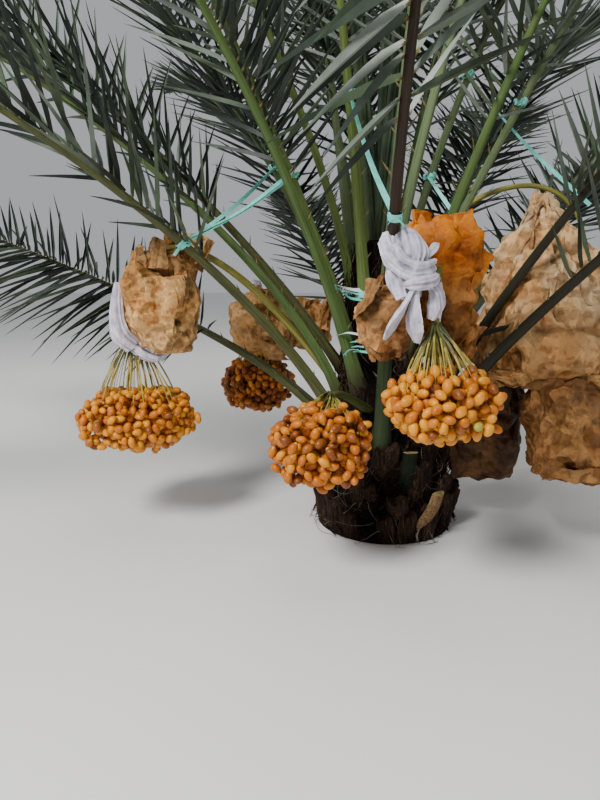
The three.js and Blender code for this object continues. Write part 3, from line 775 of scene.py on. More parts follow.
def growRoots(rng):
    # Pale curling roots round the foot.
    heap = Heap()
    steps, each = roots["steps"], roots["each"]
    for _ in range(roots["count"]):
        turn, height = rng.uniform(0, 360), rng.uniform(*roots["from"])
        wander = np.cumsum(rng.normal(0, roots["veer"], steps)) + rng.uniform(*roots["downward"])
        out = roots["out"] + roots["wave"] * np.abs(np.sin(np.linspace(0, 3, steps) * rng.uniform(0.5, 1.5)))
        path = []
        for k in range(steps):
            path.append(trunkPoint(turn, max(0.003, height), 1.0, out[k]))
            turn += math.degrees(each * math.cos(wander[k]) / roots["around"])
            height += each * math.sin(wander[k])
        t = np.linspace(0, 1, steps)
        heap.add(*swept(np.array(path), roundSection(4), rng.uniform(*roots["radius"]) * (1 - 0.6 * t)))
    finishPiece(heap.build("trunkRoots", (looks["fibrePale"],)), "trunk_fibre")


modelTrunk()
placeBoots()
fibreDraws = np.random.default_rng(5)
growStrips(fibreDraws)
growRoots(fibreDraws)
print("trunk made")


# Fronds: each rib follows the frame's rule, and its leaflets stand in several ranks

frondShape = {
    "bareShare": 0.27, "kickLength": 0.28, "bendPower": 1.5, "roll": 12, "rollStep": 2.3, "rootSink": 0.045,
    "rootShare": 0.9, "lowFootWidth": 0.064, "highFootWidth": 0.038, "tipWidth": 0.009, "widthFall": 2.2,
    "depthShare": 0.62, "depthMin": 0.003, "clasp": 0.9, "claspRun": 0.075, "cup": 0.02, "samples": 240,
    "ringCrowd": 1.25, "channelFoot": 0.042, "channelBlade": 0.175, "around": 12, "rings": 44,
}
leafShape = {
    "perSide": 98, "length": 0.46, "endShare": 0.42, "fullestFrom": 0.12, "fullestTo": 0.92,
    "angleFoot": 62, "angleTip": 24, "lift": 22, "rankFoot": 34, "rankTip": 14, "rankStep": 2.4,
    "width": 0.0168, "thickness": 0.0021, "foldFoot": 58, "foldTip": 36, "rings": 6,
    "clearance": 0.006, "tries": (1, 0.8, 0.62, 0.46), "fallOpens": 0.55, "fallEvens": 0.6,
    "crowdFoot": 0.86, "seat": 0.46, "seatOver": 0.05, "endLeaf": 0.19, "endWidth": 0.018,
    "profile": ((0, 0.5), (0.08, 0.75), (0.22, 1.0), (0.5, 0.86), (0.8, 0.44), (0.94, 0.15)),
    "alongWidth": ((0, 0.75), (0.1, 1.0), (0.7, 0.95), (1, 0.6)), "keel": (1.3, 0.6),
    "angleStray": 4, "liftStray": 5, "faceStray": 0.3, "sags": (0.3, 1.6), "lengths": (0.9, 1.02),
    "widths": (0.8, 1.08), "baseRadius": 0.2, "baseEnds": (-0.007, 0.026), "baseMiddle": 0.006,
}


def frond(turn, rise, bend, kick, foot, length, rib="ribGreen", leaf="leafGreen", sweep=0, sag=0.03,
          bare=frondShape["bareShare"], broad=1.0, fall=0):
    return {"turn": turn, "rise": rise, "bend": bend, "kick": kick, "foot": foot, "length": length,
            "rib": rib, "leaf": leaf, "sweep": sweep, "sag": sag, "bare": bare, "broad": broad, "fall": fall}


fronds = [
    frond(205, 46, 44, 20, 0.36, 2.9, "ribOlive", "leafDark"),
    frond(184, 48, 40, 28, 0.44, 3.0, "ribGreen", "leafDark"),
    frond(172, 48, 24, 12, 0.55, 3.0, "ribOlive", "leafDark"),
    frond(160, 22, 8, 34, 0.32, 2.5, "ribOlive", "leafDark", sag=0.06, fall=-58),
    frond(146, 60, 44, 20, 0.59, 3.0, "ribGreen", "leafDark"),
    frond(207, 64, 16, 12, 0.62, 3.0, "ribYellow", "leafGreen"),
    frond(180, 67, 12, 22, 0.78, 3.0, "ribYellow", "leafGreen"),
    frond(138, 81, 10, 0, 0.76, 2.9, "ribPale", "leafGreen"),
    frond(234, 79, 16, 4, 0.72, 2.9, "ribYellow", "leafGrey"),
    frond(262, 57, 40, 14, 0.28, 2.8, "ribTwoTone", "leafGrey", sweep=10, sag=0.05, bare=0.41, broad=1.4,
          fall=66),
    frond(355, 70, 20, 14, 0.88, 2.8, "ribPale", "leafGrey"),
    frond(300, 70, 36, 14, 0.86, 2.9, "ribPale", "leafGrey"),
    frond(318, 68, 22, 12, 0.62, 2.9, "ribGreen", "leafGreen"),
    frond(346, 64, 12, 2, 0.76, 3.0, "ribPale", "leafGrey"),
    frond(331, 58, 26, 8, 0.39, 2.9, "ribBrown", "leafGrey"),
    frond(316, 45, 16, 22, 0.305, 2.8, "ribBrown", "leafGreen"),
    frond(278, 80, 34, 2, 0.8, 2.8, "ribPale", "leafGrey"),
    frond(14, 50, 40, 18, 0.47, 2.9, "ribGreen", "leafGrey"),
    frond(46, 54, 44, 16, 0.6, 3.0, "ribGreen", "leafGreen"),
    frond(43, 34, 24, 30, 0.34, 2.7, "ribOlive", "leafGreen"),
    frond(62, 46, 40, 22, 0.44, 2.9, "ribGreen", "leafDark"),
    frond(94, 62, 44, 14, 0.6, 3.0, "ribYellow", "leafGreen"),
    frond(118, 50, 42, 20, 0.47, 3.0, "ribGreen", "leafDark"),
    frond(112, 68, 36, 10, 0.73, 3.0, "ribGreen", "leafGrey"),
    frond(84, 77, 26, 6, 0.82, 2.9, "ribPale", "leafGreen"),
    frond(99, 32, 24, 30, 0.33, 2.6, "ribOlive", "leafDark"),
    frond(64, 66, 40, 10, 0.72, 2.9, "ribGreen", "leafGrey"),
    frond(225, 62, 46, 12, 0.5, 2.9, "ribGreen", "leafDark"),
]


class RibLine:
    # The middle line of a rib, with its frame and sizes, at any share of its length.
    def __init__(self, spec, index):
        shape, self.spec, self.index = frondShape, spec, index
        self.grid = np.linspace(0, 1, shape["samples"] + 1)
        run = self.grid * spec["length"]
        slope = np.radians(spec["rise"] + spec["kick"] * np.exp(-run / shape["kickLength"])
                           - spec["bend"] * self.grid ** shape["bendPower"])
        turn = np.radians(spec["turn"] + spec["sweep"] * self.grid)
        self.along = np.stack((np.cos(slope) * np.cos(turn), np.cos(slope) * np.sin(turn), np.sin(slope)), 1)
        strides = (self.along[1:] + self.along[:-1]) / 2 * spec["length"] / shape["samples"]
        foot = trunkPoint(spec["turn"], spec["foot"], shape["rootShare"])
        self.centre = foot + np.concatenate((np.zeros((1, 3)), np.cumsum(strides, 0)))
        right = np.stack((np.sin(turn), -np.cos(turn), np.zeros(len(turn))), 1)
        over = np.cross(right, self.along)
        roll = np.radians(shape["roll"] * self.grid * math.sin(index * shape["rollStep"]))
        self.right, self.over = turned(right, self.along, roll), turned(over, self.along, roll)
        footWidth = mix(shape["lowFootWidth"], shape["highFootWidth"], spec["foot"] / trunk["top"])
        self.width = mix(shape["tipWidth"], footWidth, (1 - self.grid) ** shape["widthFall"])

    def read(self, values, share):
        if values.ndim == 1:
            return np.interp(share, self.grid, values)
        return np.stack([np.interp(share, self.grid, values[:, k]) for k in range(3)], -1)

    def at(self, share):
        # Centre, along, right, over and width.
        kept = (self.centre, self.along, self.right, self.over, self.width)
        return [self.read(values, share) for values in kept]

    def spot(self, share):
        return [value[0] for value in self.at(np.array([share]))]


ribLines = [RibLine(spec, index) for index, spec in enumerate(fronds)]


def straightRib(around, steps):
    # A straight rib of unit size, from its foot at 0 to its tip at 1.
    leaveEdit()
    bpy.ops.mesh.primitive_circle_add(vertices=around, radius=1, fill_type="NOTHING")
    piece = bpy.context.object
    editAll(piece)
    for _ in range(steps):
        bpy.ops.mesh.extrude_region_move(TRANSFORM_OT_translate={"value": (0, 0, 1 / steps)})
    bpy.ops.mesh.select_all(action="SELECT")
    bpy.ops.mesh.fill_holes(sides=0)
    faceOut(piece)
    return piece


def bentCopy(model, name, points, run, look):
    # A copy of a straight rib in its bent shape. It keeps where each point was on the straight one,
    # for patterns that follow the surface.
    piece = copyOf(model, name)
    setPoints(piece, points)
    attribute = piece.data.attributes.new("run", "FLOAT_VECTOR", "POINT")
    attribute.data.foreach_set("vector", np.stack(run, 1).astype(np.float32).ravel())
    faceOut(piece)
    wear(piece, looks[look])
    smoothPiece(piece, 45)
    return piece


def bendRib(model, line, name):
    # Flatter above than below, cupped where it clasps the trunk.
    shape = frondShape
    straight = pointsOf(model)
    x, y, share = straight[:, 0], straight[:, 1], straight[:, 2] ** shape["ringCrowd"]
    centre, along, right, over, width = line.at(share)
    clasp = shape["clasp"] * np.exp(-share * line.spec["length"] / shape["claspRun"])
    depth = shape["depthShare"] * width + shape["depthMin"]
    channel = mix(shape["channelFoot"], shape["channelBlade"], np.clip(share * 3, 0, 1))
    crest = np.where(y > 0, y * channel * width, y * depth)
    cup = clasp * x ** 2 * shape["cup"]
    sink = np.where(straight[:, 2:] < 1e-6, shape["rootSink"], 0.0)
    points = (centre + right * (x * width / 2 * (1 + clasp))[:, None]
              + over * (crest + cup)[:, None] - along * sink)
    return bentCopy(model, name, points, (x, y, share), line.spec["rib"])


def makeRibs():
    model = straightRib(frondShape["around"], frondShape["rings"])
    for number, line in enumerate(ribLines, 1):
        finishPiece(bendRib(model, line, f"rib{number:02d}"), "frond_green", f"frond_{number:02d}")
    discard(model)


makeRibs()
print("ribs made")


# Stalks of the bunches, from the trunk over to a hanging end

stalkShape = {"footRadius": 0.019, "endRadius": 0.01, "rootSink": 0.035, "steps": 36, "around": 10,
              "flare": 0.35, "flat": 0.85, "runFrom": 0.1, "runOver": 0.6}


def stalk(turn, foot, end, rise, drop, out, thick=1.0, look="stalk"):
    return {"turn": turn, "foot": foot, "end": end, "rise": rise, "drop": drop, "out": out,
            "thick": thick, "look": look}


stalks = {
    "left": stalk(163, 0.44, (-0.9, -0.1, 0.7), 0.43, 0.64, 0.4),
    "back": stalk(132, 0.5, (-0.5, 0.5, 0.66), 0.19, 0.26, 0.4),
    "front_left": stalk(246, 0.44, (-0.23, -0.392, 0.536), 0.05, 0.07, 0.4, look="stalkGreen"),
    "front": stalk(306, 0.72, (0.022, -0.668, 0.77), 0.25, 0.33, 0.35),
    "right": stalk(28, 0.8, (0.66, -0.07, 0.95), 0.42, 0.47, 0.15, thick=0.72),
    "low_right": stalk(308, 0.5, (0.56, -0.32, 0.59), 0.27, 0.29, 0.35, thick=0.7, look="ribBrown"),
    "under_right": stalk(2, 0.56, (0.372, -0.016, 0.56), 0.16, 0.23, 0.3),
    "far": stalk(76, 0.63, (0.115, 0.65, 0.69), 0.22, 0.3, 0.35),
    "far_right": stalk(28, 0.62, (0.61, 0.31, 0.8), 0.32, 0.38, 0.35),
}


def stalkPath(spec, steps):
    start = trunkPoint(spec["turn"], spec["foot"]) - compass(spec["turn"]) * stalkShape["rootSink"]
    end = np.array(spec["end"])
    reach = math.hypot(*(end - start)[:2])
    first = start + compass(spec["turn"]) * reach * spec["out"] + up * spec["rise"]
    return bezier((start, first, end + up * spec["drop"], end), steps)


def makeStalks():
    shape = stalkShape
    model = straightRib(shape["around"], shape["steps"])
    x, y, share = pointsOf(model).T
    step = np.rint(share * shape["steps"]).astype(int)
    for name, spec in stalks.items():
        path = stalkPath(spec, shape["steps"])
        along, right, over = framesAlong(path)
        radius = mix(shape["footRadius"], shape["endRadius"], share) * spec["thick"]
        broad = 1 + shape["flare"] * (1 - share) ** 2
        points = (path[step] + right[step] * (x * radius * broad)[:, None]
                  + over[step] * (y * radius * shape["flat"])[:, None])
        run = (x, y, shape["runFrom"] + share * shape["runOver"])
        piece = bentCopy(model, f"fruitStalk_{name}", points, run, spec["look"])
        finishPiece(piece, "stalk_green", f"stalk_{name}")
    discard(model)


makeStalks()
print("stalks made")


# Where the bunches, bags and netting are

bunches = {
    "left": {"middle": (-0.9, -0.105, 0.418), "size": (0.425, 0.38, 0.235),
             "tone": (0.64, 0.3, 0.06), "seed": 1},
    "back": {"middle": (-0.515, 0.508, 0.438), "size": (0.33, 0.32, 0.265),
             "tone": (0.1, 0.4, 0.5), "seed": 2},
    "front_left": {"middle": (-0.262, -0.55, 0.446), "size": (0.3, 0.28, 0.245),
                   "tone": (0.2, 0.5, 0.3), "seed": 3},
    "front": {"middle": (0.037, -0.715, 0.6), "size": (0.298, 0.27, 0.21),
              "tone": (0.55, 0.37, 0.08), "seed": 4, "green": (0.5, -0.8, -0.4)},
    "far": {"middle": (0.118, 0.665, 0.44), "size": (0.34, 0.32, 0.25),
            "tone": (0.3, 0.45, 0.25), "seed": 5},
}

# Outlines are height share and width share, from inside the hem, round it, and up to the neck or lip.
bagOutlines = {
    "rolled": [(0.16, 0.3), (0.04, 0.42), (0.0, 0.54), (0.04, 0.7), (0.12, 0.86), (0.24, 0.97), (0.4, 1.0),
               (0.56, 0.97), (0.68, 0.88), (0.76, 0.74), (0.8, 0.56), (0.84, 0.5)],
    "wrap": [(0.2, 0.5), (0.06, 0.62), (0.0, 0.72), (0.05, 0.84), (0.16, 0.95), (0.32, 1.0), (0.5, 0.98),
             (0.66, 0.9), (0.79, 0.72), (0.88, 0.5), (0.94, 0.4), (1.0, 0.5)],
    "sack": [(0.16, 0.7), (0.04, 0.78), (0.0, 0.82), (0.05, 0.94), (0.16, 1.0), (0.32, 0.99), (0.5, 0.93),
             (0.66, 0.82), (0.8, 0.62), (0.91, 0.38), (1.0, 0.14)],
    "box": [(0.14, 0.8), (0.03, 0.88), (0.0, 0.92), (0.05, 0.97), (0.2, 1.0), (0.4, 1.0), (0.6, 0.98),
            (0.78, 0.94), (0.9, 0.86), (0.97, 0.6), (1.0, 0.2)],
    "flared": [(0.1, 0.2), (0.02, 0.28), (0.0, 0.34), (0.1, 0.48), (0.22, 0.6), (0.36, 0.74), (0.5, 0.88),
               (0.62, 0.97), (0.74, 1.0), (0.84, 0.94), (0.91, 0.8), (1.0, 0.66)],
    "tent": [(0.16, 0.72), (0.05, 0.84), (0.0, 0.9), (0.05, 0.98), (0.14, 1.0), (0.28, 0.97), (0.42, 0.88),
             (0.56, 0.75), (0.7, 0.57), (0.83, 0.37), (0.93, 0.2), (1.0, 0.08)],
}

# Dents are a place, a reach and a push. Flaps are four corners, from low left round, and a bulge.
bags = {
    "left": {
        "middle": (-0.806, -0.118, 0.868), "size": (0.262, 0.24, 0.4), "outline": "rolled",
        "tip": (0.02, 0), "corners": 5, "square": 0.25, "start": 20, "pleats": 0.05, "dip": 0.05,
        "around": 22, "look": "kraftTan", "seed": 21,
        "dents": [
            ((-0.765, -0.25, 0.945), 0.05, (0, 0.08, -0.03)),
            ((-0.75, -0.255, 0.885), 0.035, (0, 0.05, 0)), ((-0.775, -0.26, 0.82), 0.025, (0, 0.03, 0)),
            ((-0.83, -0.25, 0.87), 0.08, (0, -0.03, 0.015)),
            ((-0.69, -0.24, 0.88), 0.06, (0.01, -0.035, 0.015)),
            ((-0.72, -0.2, 0.7), 0.07, (0, -0.02, -0.02)), ((-0.9, -0.2, 0.69), 0.05, (0.01, 0, 0.04)),
        ],
        "flaps": [
            ((-0.898, -0.17, 0.925), (-0.836, -0.21, 0.94), (-0.829, -0.19, 1.008), (-0.87, -0.17, 1.004),
             (0, -0.014, 0)),
            ((-0.83, -0.19, 0.94), (-0.752, -0.2, 0.94), (-0.762, -0.165, 1.044), (-0.81, -0.165, 1.026),
             (0, -0.014, 0)),
            ((-0.82, -0.04, 0.94), (-0.68, -0.02, 0.93), (-0.64, -0.05, 1.042), (-0.785, -0.05, 1.05),
             (0, 0.03, 0.02)),
            ((-0.74, -0.06, 1.0), (-0.64, -0.06, 1.0), (-0.632, -0.05, 1.04), (-0.735, -0.06, 1.062),
             (0, -0.035, 0.01)),
            ((-0.68, -0.1, 0.955), (-0.645, -0.1, 0.972), (-0.61, -0.07, 1.034), (-0.655, -0.1, 1.03),
             (0.012, -0.015, 0)),
        ],
    },
    "back": {
        "middle": (-0.495, 0.52, 0.715), "size": (0.27, 0.24, 0.3), "outline": "wrap",
        "tip": (0.01, 0.01), "corners": 5, "square": 0.6, "start": 10, "pleats": 0.09, "look": "kraftTan",
        "seed": 32, "around": 18,
        "dents": [
            ((-0.43, 0.41, 0.76), 0.06, (0, 0.07, 0)), ((-0.57, 0.4, 0.76), 0.06, (0, -0.02, 0.01)),
        ],
        "flaps": [
            ((-0.57, 0.41, 0.7), (-0.4, 0.39, 0.6), (-0.33, 0.4, 0.5), (-0.4, 0.41, 0.455),
             (0, -0.03, 0)),
            ((-0.6, 0.44, 0.79), (-0.49, 0.42, 0.8), (-0.5, 0.43, 0.875), (-0.555, 0.45, 0.85),
             (0, -0.02, 0)),
        ],
    },
    "back_lobe": {
        "middle": (-0.29, 0.545, 0.705), "size": (0.21, 0.19, 0.21), "outline": "wrap", "tip": (0.01, 0),
        "corners": 5, "square": 0.6, "start": 40, "pleats": 0.09, "look": "kraftTan", "seed": 43,
        "around": 16, "dents": [],
        "flaps": [
            ((-0.36, 0.47, 0.75), (-0.29, 0.45, 0.74), (-0.3, 0.47, 0.82), (-0.35, 0.49, 0.825),
             (0, -0.015, 0)),
            ((-0.25, 0.47, 0.7), (-0.19, 0.46, 0.67), (-0.175, 0.48, 0.81), (-0.2, 0.49, 0.83),
             (0, -0.02, 0)),
        ],
    },
    "front_brown": {
        "middle": (-0.088, -0.562, 0.822), "size": (0.148, 0.138, 0.25), "outline": "rolled",
        "tip": (0, 0), "corners": 6, "square": 0.45, "start": 30, "pleats": 0.14, "dip": 0.05,
        "around": 20, "look": "kraftBrown", "seed": 54,
        "dents": [
            ((-0.1, -0.64, 0.88), 0.045, (0.01, 0.06, 0)), ((-0.15, -0.62, 0.84), 0.03, (0, 0.03, 0)),
            ((-0.12, -0.64, 0.78), 0.035, (0, 0.03, 0.02)),
        ],
        "flaps": [
            ((-0.168, -0.58, 0.8), (-0.125, -0.62, 0.86), (-0.1, -0.59, 0.93), (-0.138, -0.57, 0.9),
             (-0.01, -0.02, 0)),
            ((-0.165, -0.6, 0.745), (-0.06, -0.64, 0.73), (-0.06, -0.66, 0.775), (-0.15, -0.64, 0.79),
             (0, -0.02, -0.01)),
        ],
    },
    "front_orange": {
        "middle": (0.098, -0.512, 0.87), "size": (0.205, 0.17, 0.405), "outline": "flared",
        "tip": (-0.035, 0), "corners": 4, "square": 0.8, "start": 35, "pleats": 0.06, "around": 20,
        "look": "kraftOrange", "seed": 65,
        "dents": [
            ((0.15, -0.6, 0.85), 0.05, (-0.01, 0.03, 0)), ((0.06, -0.62, 0.95), 0.08, (0, -0.02, 0)),
        ],
        "flaps": [
            ((0.12, -0.57, 0.875), (0.165, -0.55, 0.895), (0.192, -0.54, 0.962), (0.128, -0.56, 1.006),
             (0, -0.012, 0)),
            ((-0.045, -0.55, 0.97), (0.1, -0.57, 0.97), (0.054, -0.545, 1.078), (-0.048, -0.55, 1.044),
             (0, -0.016, 0)),
            ((0.09, -0.55, 0.68), (0.155, -0.54, 0.695), (0.19, -0.53, 0.775), (0.14, -0.56, 0.82),
             (0, -0.016, 0)),
        ],
    },
    "right": {
        "middle": (0.565, -0.14, 0.86), "size": (0.5, 0.31, 0.62), "outline": "tent",
        "tip": (-0.085, 0.02), "corners": 4, "square": 0.9, "start": 62, "pleats": 0.03, "around": 24,
        "rough": 0.02, "look": "kraftPale", "seed": 76,
        "dents": [
            ((0.5, -0.3, 0.66), 0.13, (0, -0.05, 0)), ((0.66, -0.28, 0.64), 0.12, (0, -0.04, 0)),
            ((0.34, -0.2, 0.62), 0.1, (-0.02, -0.03, -0.015)), ((0.55, -0.27, 0.86), 0.06, (0, 0.035, 0)),
            ((0.47, -0.26, 0.78), 0.05, (0, 0.03, 0)), ((0.62, -0.3, 0.73), 0.05, (0, 0.03, 0.0)),
            ((0.42, -0.24, 0.93), 0.1, (0, 0.02, 0)), ((0.4, -0.27, 0.7), 0.04, (0, 0.03, 0)),
        ],
        "flaps": [
            ((0.5, -0.22, 0.99), (0.53, -0.19, 0.98), (0.475, -0.19, 1.14), (0.45, -0.21, 1.14),
             (0, -0.012, 0)),
            ((0.6, -0.26, 0.83), (0.66, -0.2, 0.82), (0.55, -0.17, 0.98), (0.515, -0.23, 0.99),
             (0.01, -0.014, 0)),
            ((0.31, -0.25, 0.585), (0.64, -0.32, 0.565), (0.64, -0.33, 0.615), (0.3, -0.26, 0.62),
             (0, -0.02, -0.01)),
        ],
    },
    "low_right": {
        "middle": (0.585, -0.315, 0.436), "size": (0.31, 0.25, 0.31), "outline": "box",
        "tip": (0.0, 0.02), "corners": 4, "square": 0.95, "start": 48, "pleats": 0.03, "around": 22,
        "look": "kraftShade", "seed": 87,
        "dents": [
            ((0.5, -0.45, 0.4), 0.07, (0, 0.015, 0)), ((0.6, -0.45, 0.34), 0.06, (0, -0.015, 0)),
        ],
        "flaps": [
            ((0.43, -0.44, 0.3), (0.66, -0.43, 0.29), (0.65, -0.44, 0.335), (0.44, -0.45, 0.345),
             (0, -0.012, 0)),
        ],
    },
    "under_right": {
        "middle": (0.362, -0.016, 0.386), "size": (0.26, 0.23, 0.4), "outline": "box", "tip": (0.01, 0),
        "corners": 4, "square": 0.9, "start": 30, "pleats": 0.04, "around": 18, "look": "kraftDark",
        "seed": 98, "dents": [],
        "flaps": [
            ((0.44, -0.12, 0.24), (0.475, -0.08, 0.26), (0.47, -0.08, 0.56), (0.44, -0.12, 0.56),
             (0.006, -0.01, 0)),
        ],
    },
    "far": {
        "middle": (0.118, 0.655, 0.735), "size": (0.25, 0.24, 0.28), "outline": "wrap", "tip": (0, 0),
        "corners": 5, "square": 0.6, "start": 20, "pleats": 0.09, "around": 16, "look": "kraftTan",
        "seed": 109, "flaps": [],
        "dents": [
            ((0.1, 0.77, 0.77), 0.06, (0, -0.04, 0)),
        ],
    },
    "far_right": {
        "middle": (0.61, 0.31, 0.7), "size": (0.32, 0.28, 0.42), "outline": "sack", "tip": (0, 0),
        "corners": 4, "square": 0.85, "start": 25, "pleats": 0.05, "around": 18, "look": "kraftTan",
        "seed": 120, "flaps": [],
        "dents": [
            ((0.68, 0.44, 0.7), 0.08, (0, -0.04, 0)),
        ],
    },
}
nets = {
    "front": {"middle": (-0.014, -0.634, 0.893), "size": (0.125, 0.11, 0.27)},
    "left": {"middle": (-0.985, -0.075, 0.77), "size": (0.11, 0.13, 0.25)},
}


# Leaflets

def takenSpace():
    # Upright bars that leaflets keep clear of: foot, head and radius.
    bars = []
    for spec in [*bunches.values(), *bags.values(), *nets.values()]:
        middle, size = np.array(spec["middle"]), spec["size"]
        girth = max(size[0], size[1]) / 2 + 0.008
        rise = max(0.0, size[2] / 2 - girth * 0.7)
        bars.append((middle - up * rise, middle + up * rise, girth))
    for spec in stalks.values():
        path = stalkPath(spec, 8)
        bars += [(path[i], path[i + 1], stalkShape["footRadius"]) for i in range(8)]
    starts, ends, girths = zip(*bars)
    return np.array(starts), np.array(ends), np.array(girths)


barStarts, barEnds, barGirths = takenSpace()


def clearOf(points):
    # Space between each point and the nearest bar.
    span = barEnds - barStarts
    lengths = (span ** 2).sum(-1) + 1e-12
    share = ((points[..., None, :] - barStarts) * span).sum(-1) / lengths
    nearest = barStarts + span * np.clip(share, 0, 1)[..., None]
    return (np.linalg.norm(points[..., None, :] - nearest, axis=-1) - barGirths).min(-1)


def leafBlades(roots, headings, faces, lengths, widths, sags):
    # Folded blades, all at once: rings of left edge, fold, right edge and keel, then a point.
    shape, rings = leafShape, leafShape["rings"]
    spots, shares = zip(*shape["profile"])
    t = np.linspace(0, spots[-1], rings)
    across = np.cross(headings, faces)
    half = widths[:, None] / 2 * np.interp(t, spots, shares)
    rise = half * np.tan(np.radians(mix(shape["foldFoot"], shape["foldTip"], t)))
    centre = (roots[:, None] + headings[:, None] * (lengths[:, None] * t)[..., None]
              - up * (sags[:, None] * lengths[:, None] * t ** 2)[..., None])
    side = across[:, None] * half[..., None]
    lift = faces[:, None] * rise[..., None]
    keel = faces[:, None] * (shape["thickness"] * np.interp(t, (0, 1), shape["keel"]))[None, :, None]
    points = np.stack((centre - side + lift, centre, centre + side + lift, centre - keel), 2)
    tips = roots + headings * lengths[:, None] - up * (sags * lengths)[:, None]
    count = len(roots)
    points = np.concatenate((points.reshape(count, -1, 3), tips[:, None]), 1)
    walls, j, following = ringCorners(rings, 4)
    last, tip = (rings - 1) * 4, rings * 4
    corners = np.concatenate((
        walls,
        np.stack((last + j, last + following, np.full(4, tip)), 1),
        np.array(((0, 2, 1), (0, 3, 2))),
    ))
    every = corners + (np.arange(count) * (rings * 4 + 1))[:, None, None]
    return points.reshape(-1, 3), every.reshape(-1, 3), len(corners)


leafLooks = ("leafGrey", "leafGreen", "leafDark", "leafPale")
leafMixes = {
    "leafGrey": (0.55, 0.15, 0.1, 0.2), "leafGreen": (0.2, 0.5, 0.2, 0.1),
             "leafDark": (0.12, 0.25, 0.6, 0.03),
}


def growSide(heap, bases, line, side):
    shape, spec, index = leafShape, line.spec, line.index
    count = round(shape["perSide"] * (1 - spec["bare"]) / (1 - frondShape["bareShare"]) / spec["broad"])
    rng = np.random.default_rng(1000 + 2 * index + (side > 0))
    j = np.arange(count)
    blade = ((j + 0.5) / count) ** shape["crowdFoot"] + rng.uniform(-0.3, 0.3, count) / count
    blade = np.clip(blade, 0, 0.995)
    centre, along, right, over, width = line.at(mix(spec["bare"], 1, blade))
    fall = max(0, side * spec["fall"])
    opened = fall * shape["fallOpens"] * (1 - blade)
    stray = rng.normal(0, shape["angleStray"], count)
    angle = mix(shape["angleFoot"], shape["angleTip"], blade) + opened + stray
    rank = mix(shape["rankFoot"], shape["rankTip"], blade) * np.sin(j * shape["rankStep"] + index + side)
    rank = rank * (1 - shape["fallEvens"] * (fall > 0))
    lift = np.radians(shape["lift"] - fall + rank + rng.normal(0, shape["liftStray"], count))
    angle = np.radians(angle)
    swell = np.sin(math.pi * mix(shape["fullestFrom"], shape["fullestTo"], blade))
    reach = mix(shape["endShare"], 1, swell) * shape["length"] * rng.uniform(*shape["lengths"], count)
    heading = unit(along * np.cos(angle)[:, None] + right * (side * np.sin(angle) * np.cos(lift))[:, None]
                   + over * (np.sin(angle) * np.sin(lift))[:, None])
    root = centre + right * (side * width * shape["seat"])[:, None]
    root = root + over * (shape["seatOver"] * width)[:, None]
    face = unit(over - heading * (over * heading).sum(-1)[:, None])
    face = turned(face, heading, rng.normal(0, shape["faceStray"], count))

    stretch = np.zeros(count)
    for size in reversed(shape["tries"]):
        steps = (reach * size)[:, None, None] * np.linspace(0.15, 1, 7)[:, None]
        clear = clearOf(root[:, None] + heading[:, None] * steps) > shape["clearance"]
        stretch = np.where(clear.all(-1), size, stretch)
    keep = stretch > 0
    root, heading, face, reach = root[keep], heading[keep], face[keep], (reach * stretch)[keep]
    widths = (shape["width"] * spec["broad"] * rng.uniform(*shape["widths"], count))[keep]
    widths = widths * np.interp(blade[keep], *zip(*shape["alongWidth"]))
    sags = spec["sag"] * rng.uniform(*shape["sags"], len(root))
    points, corners, each = leafBlades(root, heading, face, reach, widths, sags)
    dealt = rng.choice(4, len(root), p=leafMixes[spec["leaf"]])
    heap.add(points, corners, np.repeat(dealt, each))
    addBases(bases, root, heading, face, widths)


def addBases(heap, roots, headings, faces, widths):
    # The small swelling that each leaflet grows from.
    ring = roundSection(4)
    across = np.cross(headings, faces)
    radius = (widths * leafShape["baseRadius"])[:, None, None]
    wide = roots[:, None] + headings[:, None] * leafShape["baseMiddle"]
    rings = wide + (across[:, None] * ring[None, :, :1] + faces[:, None] * ring[None, :, 1:]) * radius
    ends = np.stack([roots + headings * end for end in leafShape["baseEnds"]], 1)
    points = np.concatenate((rings, ends), 1)
    _, j, following = ringCorners(1, 4)
    corners = np.concatenate((np.stack((following, j, np.full(4, 4)), 1),
                              np.stack((j, following, np.full(4, 5)), 1)))
    every = corners[:, ::-1] + (np.arange(len(roots)) * 6)[:, None, None]
    heap.add(points.reshape(-1, 3), every.reshape(-1, 3))


def endLeaf(heap, line):
    # Three blades at the frond's tip.
    centre, along, right, over, width = line.at(np.array([0.995]))
    fan = np.radians((-9.0, 0.0, 9.0))
    heading = unit(along * np.cos(fan)[:, None] + right * np.sin(fan)[:, None])
    face = unit(over - heading * (over * heading).sum(-1)[:, None])
    lengths = leafShape["endLeaf"] * np.array((0.8, 1.0, 0.8))
    widths = np.full(3, leafShape["endWidth"])
    points, corners, _ = leafBlades(np.repeat(centre, 3, 0), heading, face, lengths, widths, np.zeros(3))
    heap.add(points, corners, 1)


spines = {"count": 9, "first": 0.09, "shortest": 0.012, "longest": 0.05, "clearance": 0.01,
          "radii": (0.003, 0.0024, 0.0015, 0.0004)}


def addSpines(heap, line):
    # The lowest leaflets are short stiff spines.
    rng = np.random.default_rng(400 + line.index)
    bare = line.spec["bare"]
    for i, share in enumerate(np.linspace(spines["first"], bare, spines["count"])):
        side = 1 if i % 2 else -1
        centre, along, right, over, width = line.spot(share)
        root = centre + right * side * width * leafShape["seat"]
        heading = unit(along * 0.75 + right * side * 0.6 + over * rng.uniform(0.1, 0.6))
        length = mix(spines["shortest"], spines["longest"], share / bare) * rng.uniform(0.8, 1.2)
        if clearOf((root + heading * length)[None]).min() < spines["clearance"]:
            continue
        path = root + heading * np.linspace(0, length, 4)[:, None]
        heap.add(*swept(path, roundSection(5), spines["radii"]))


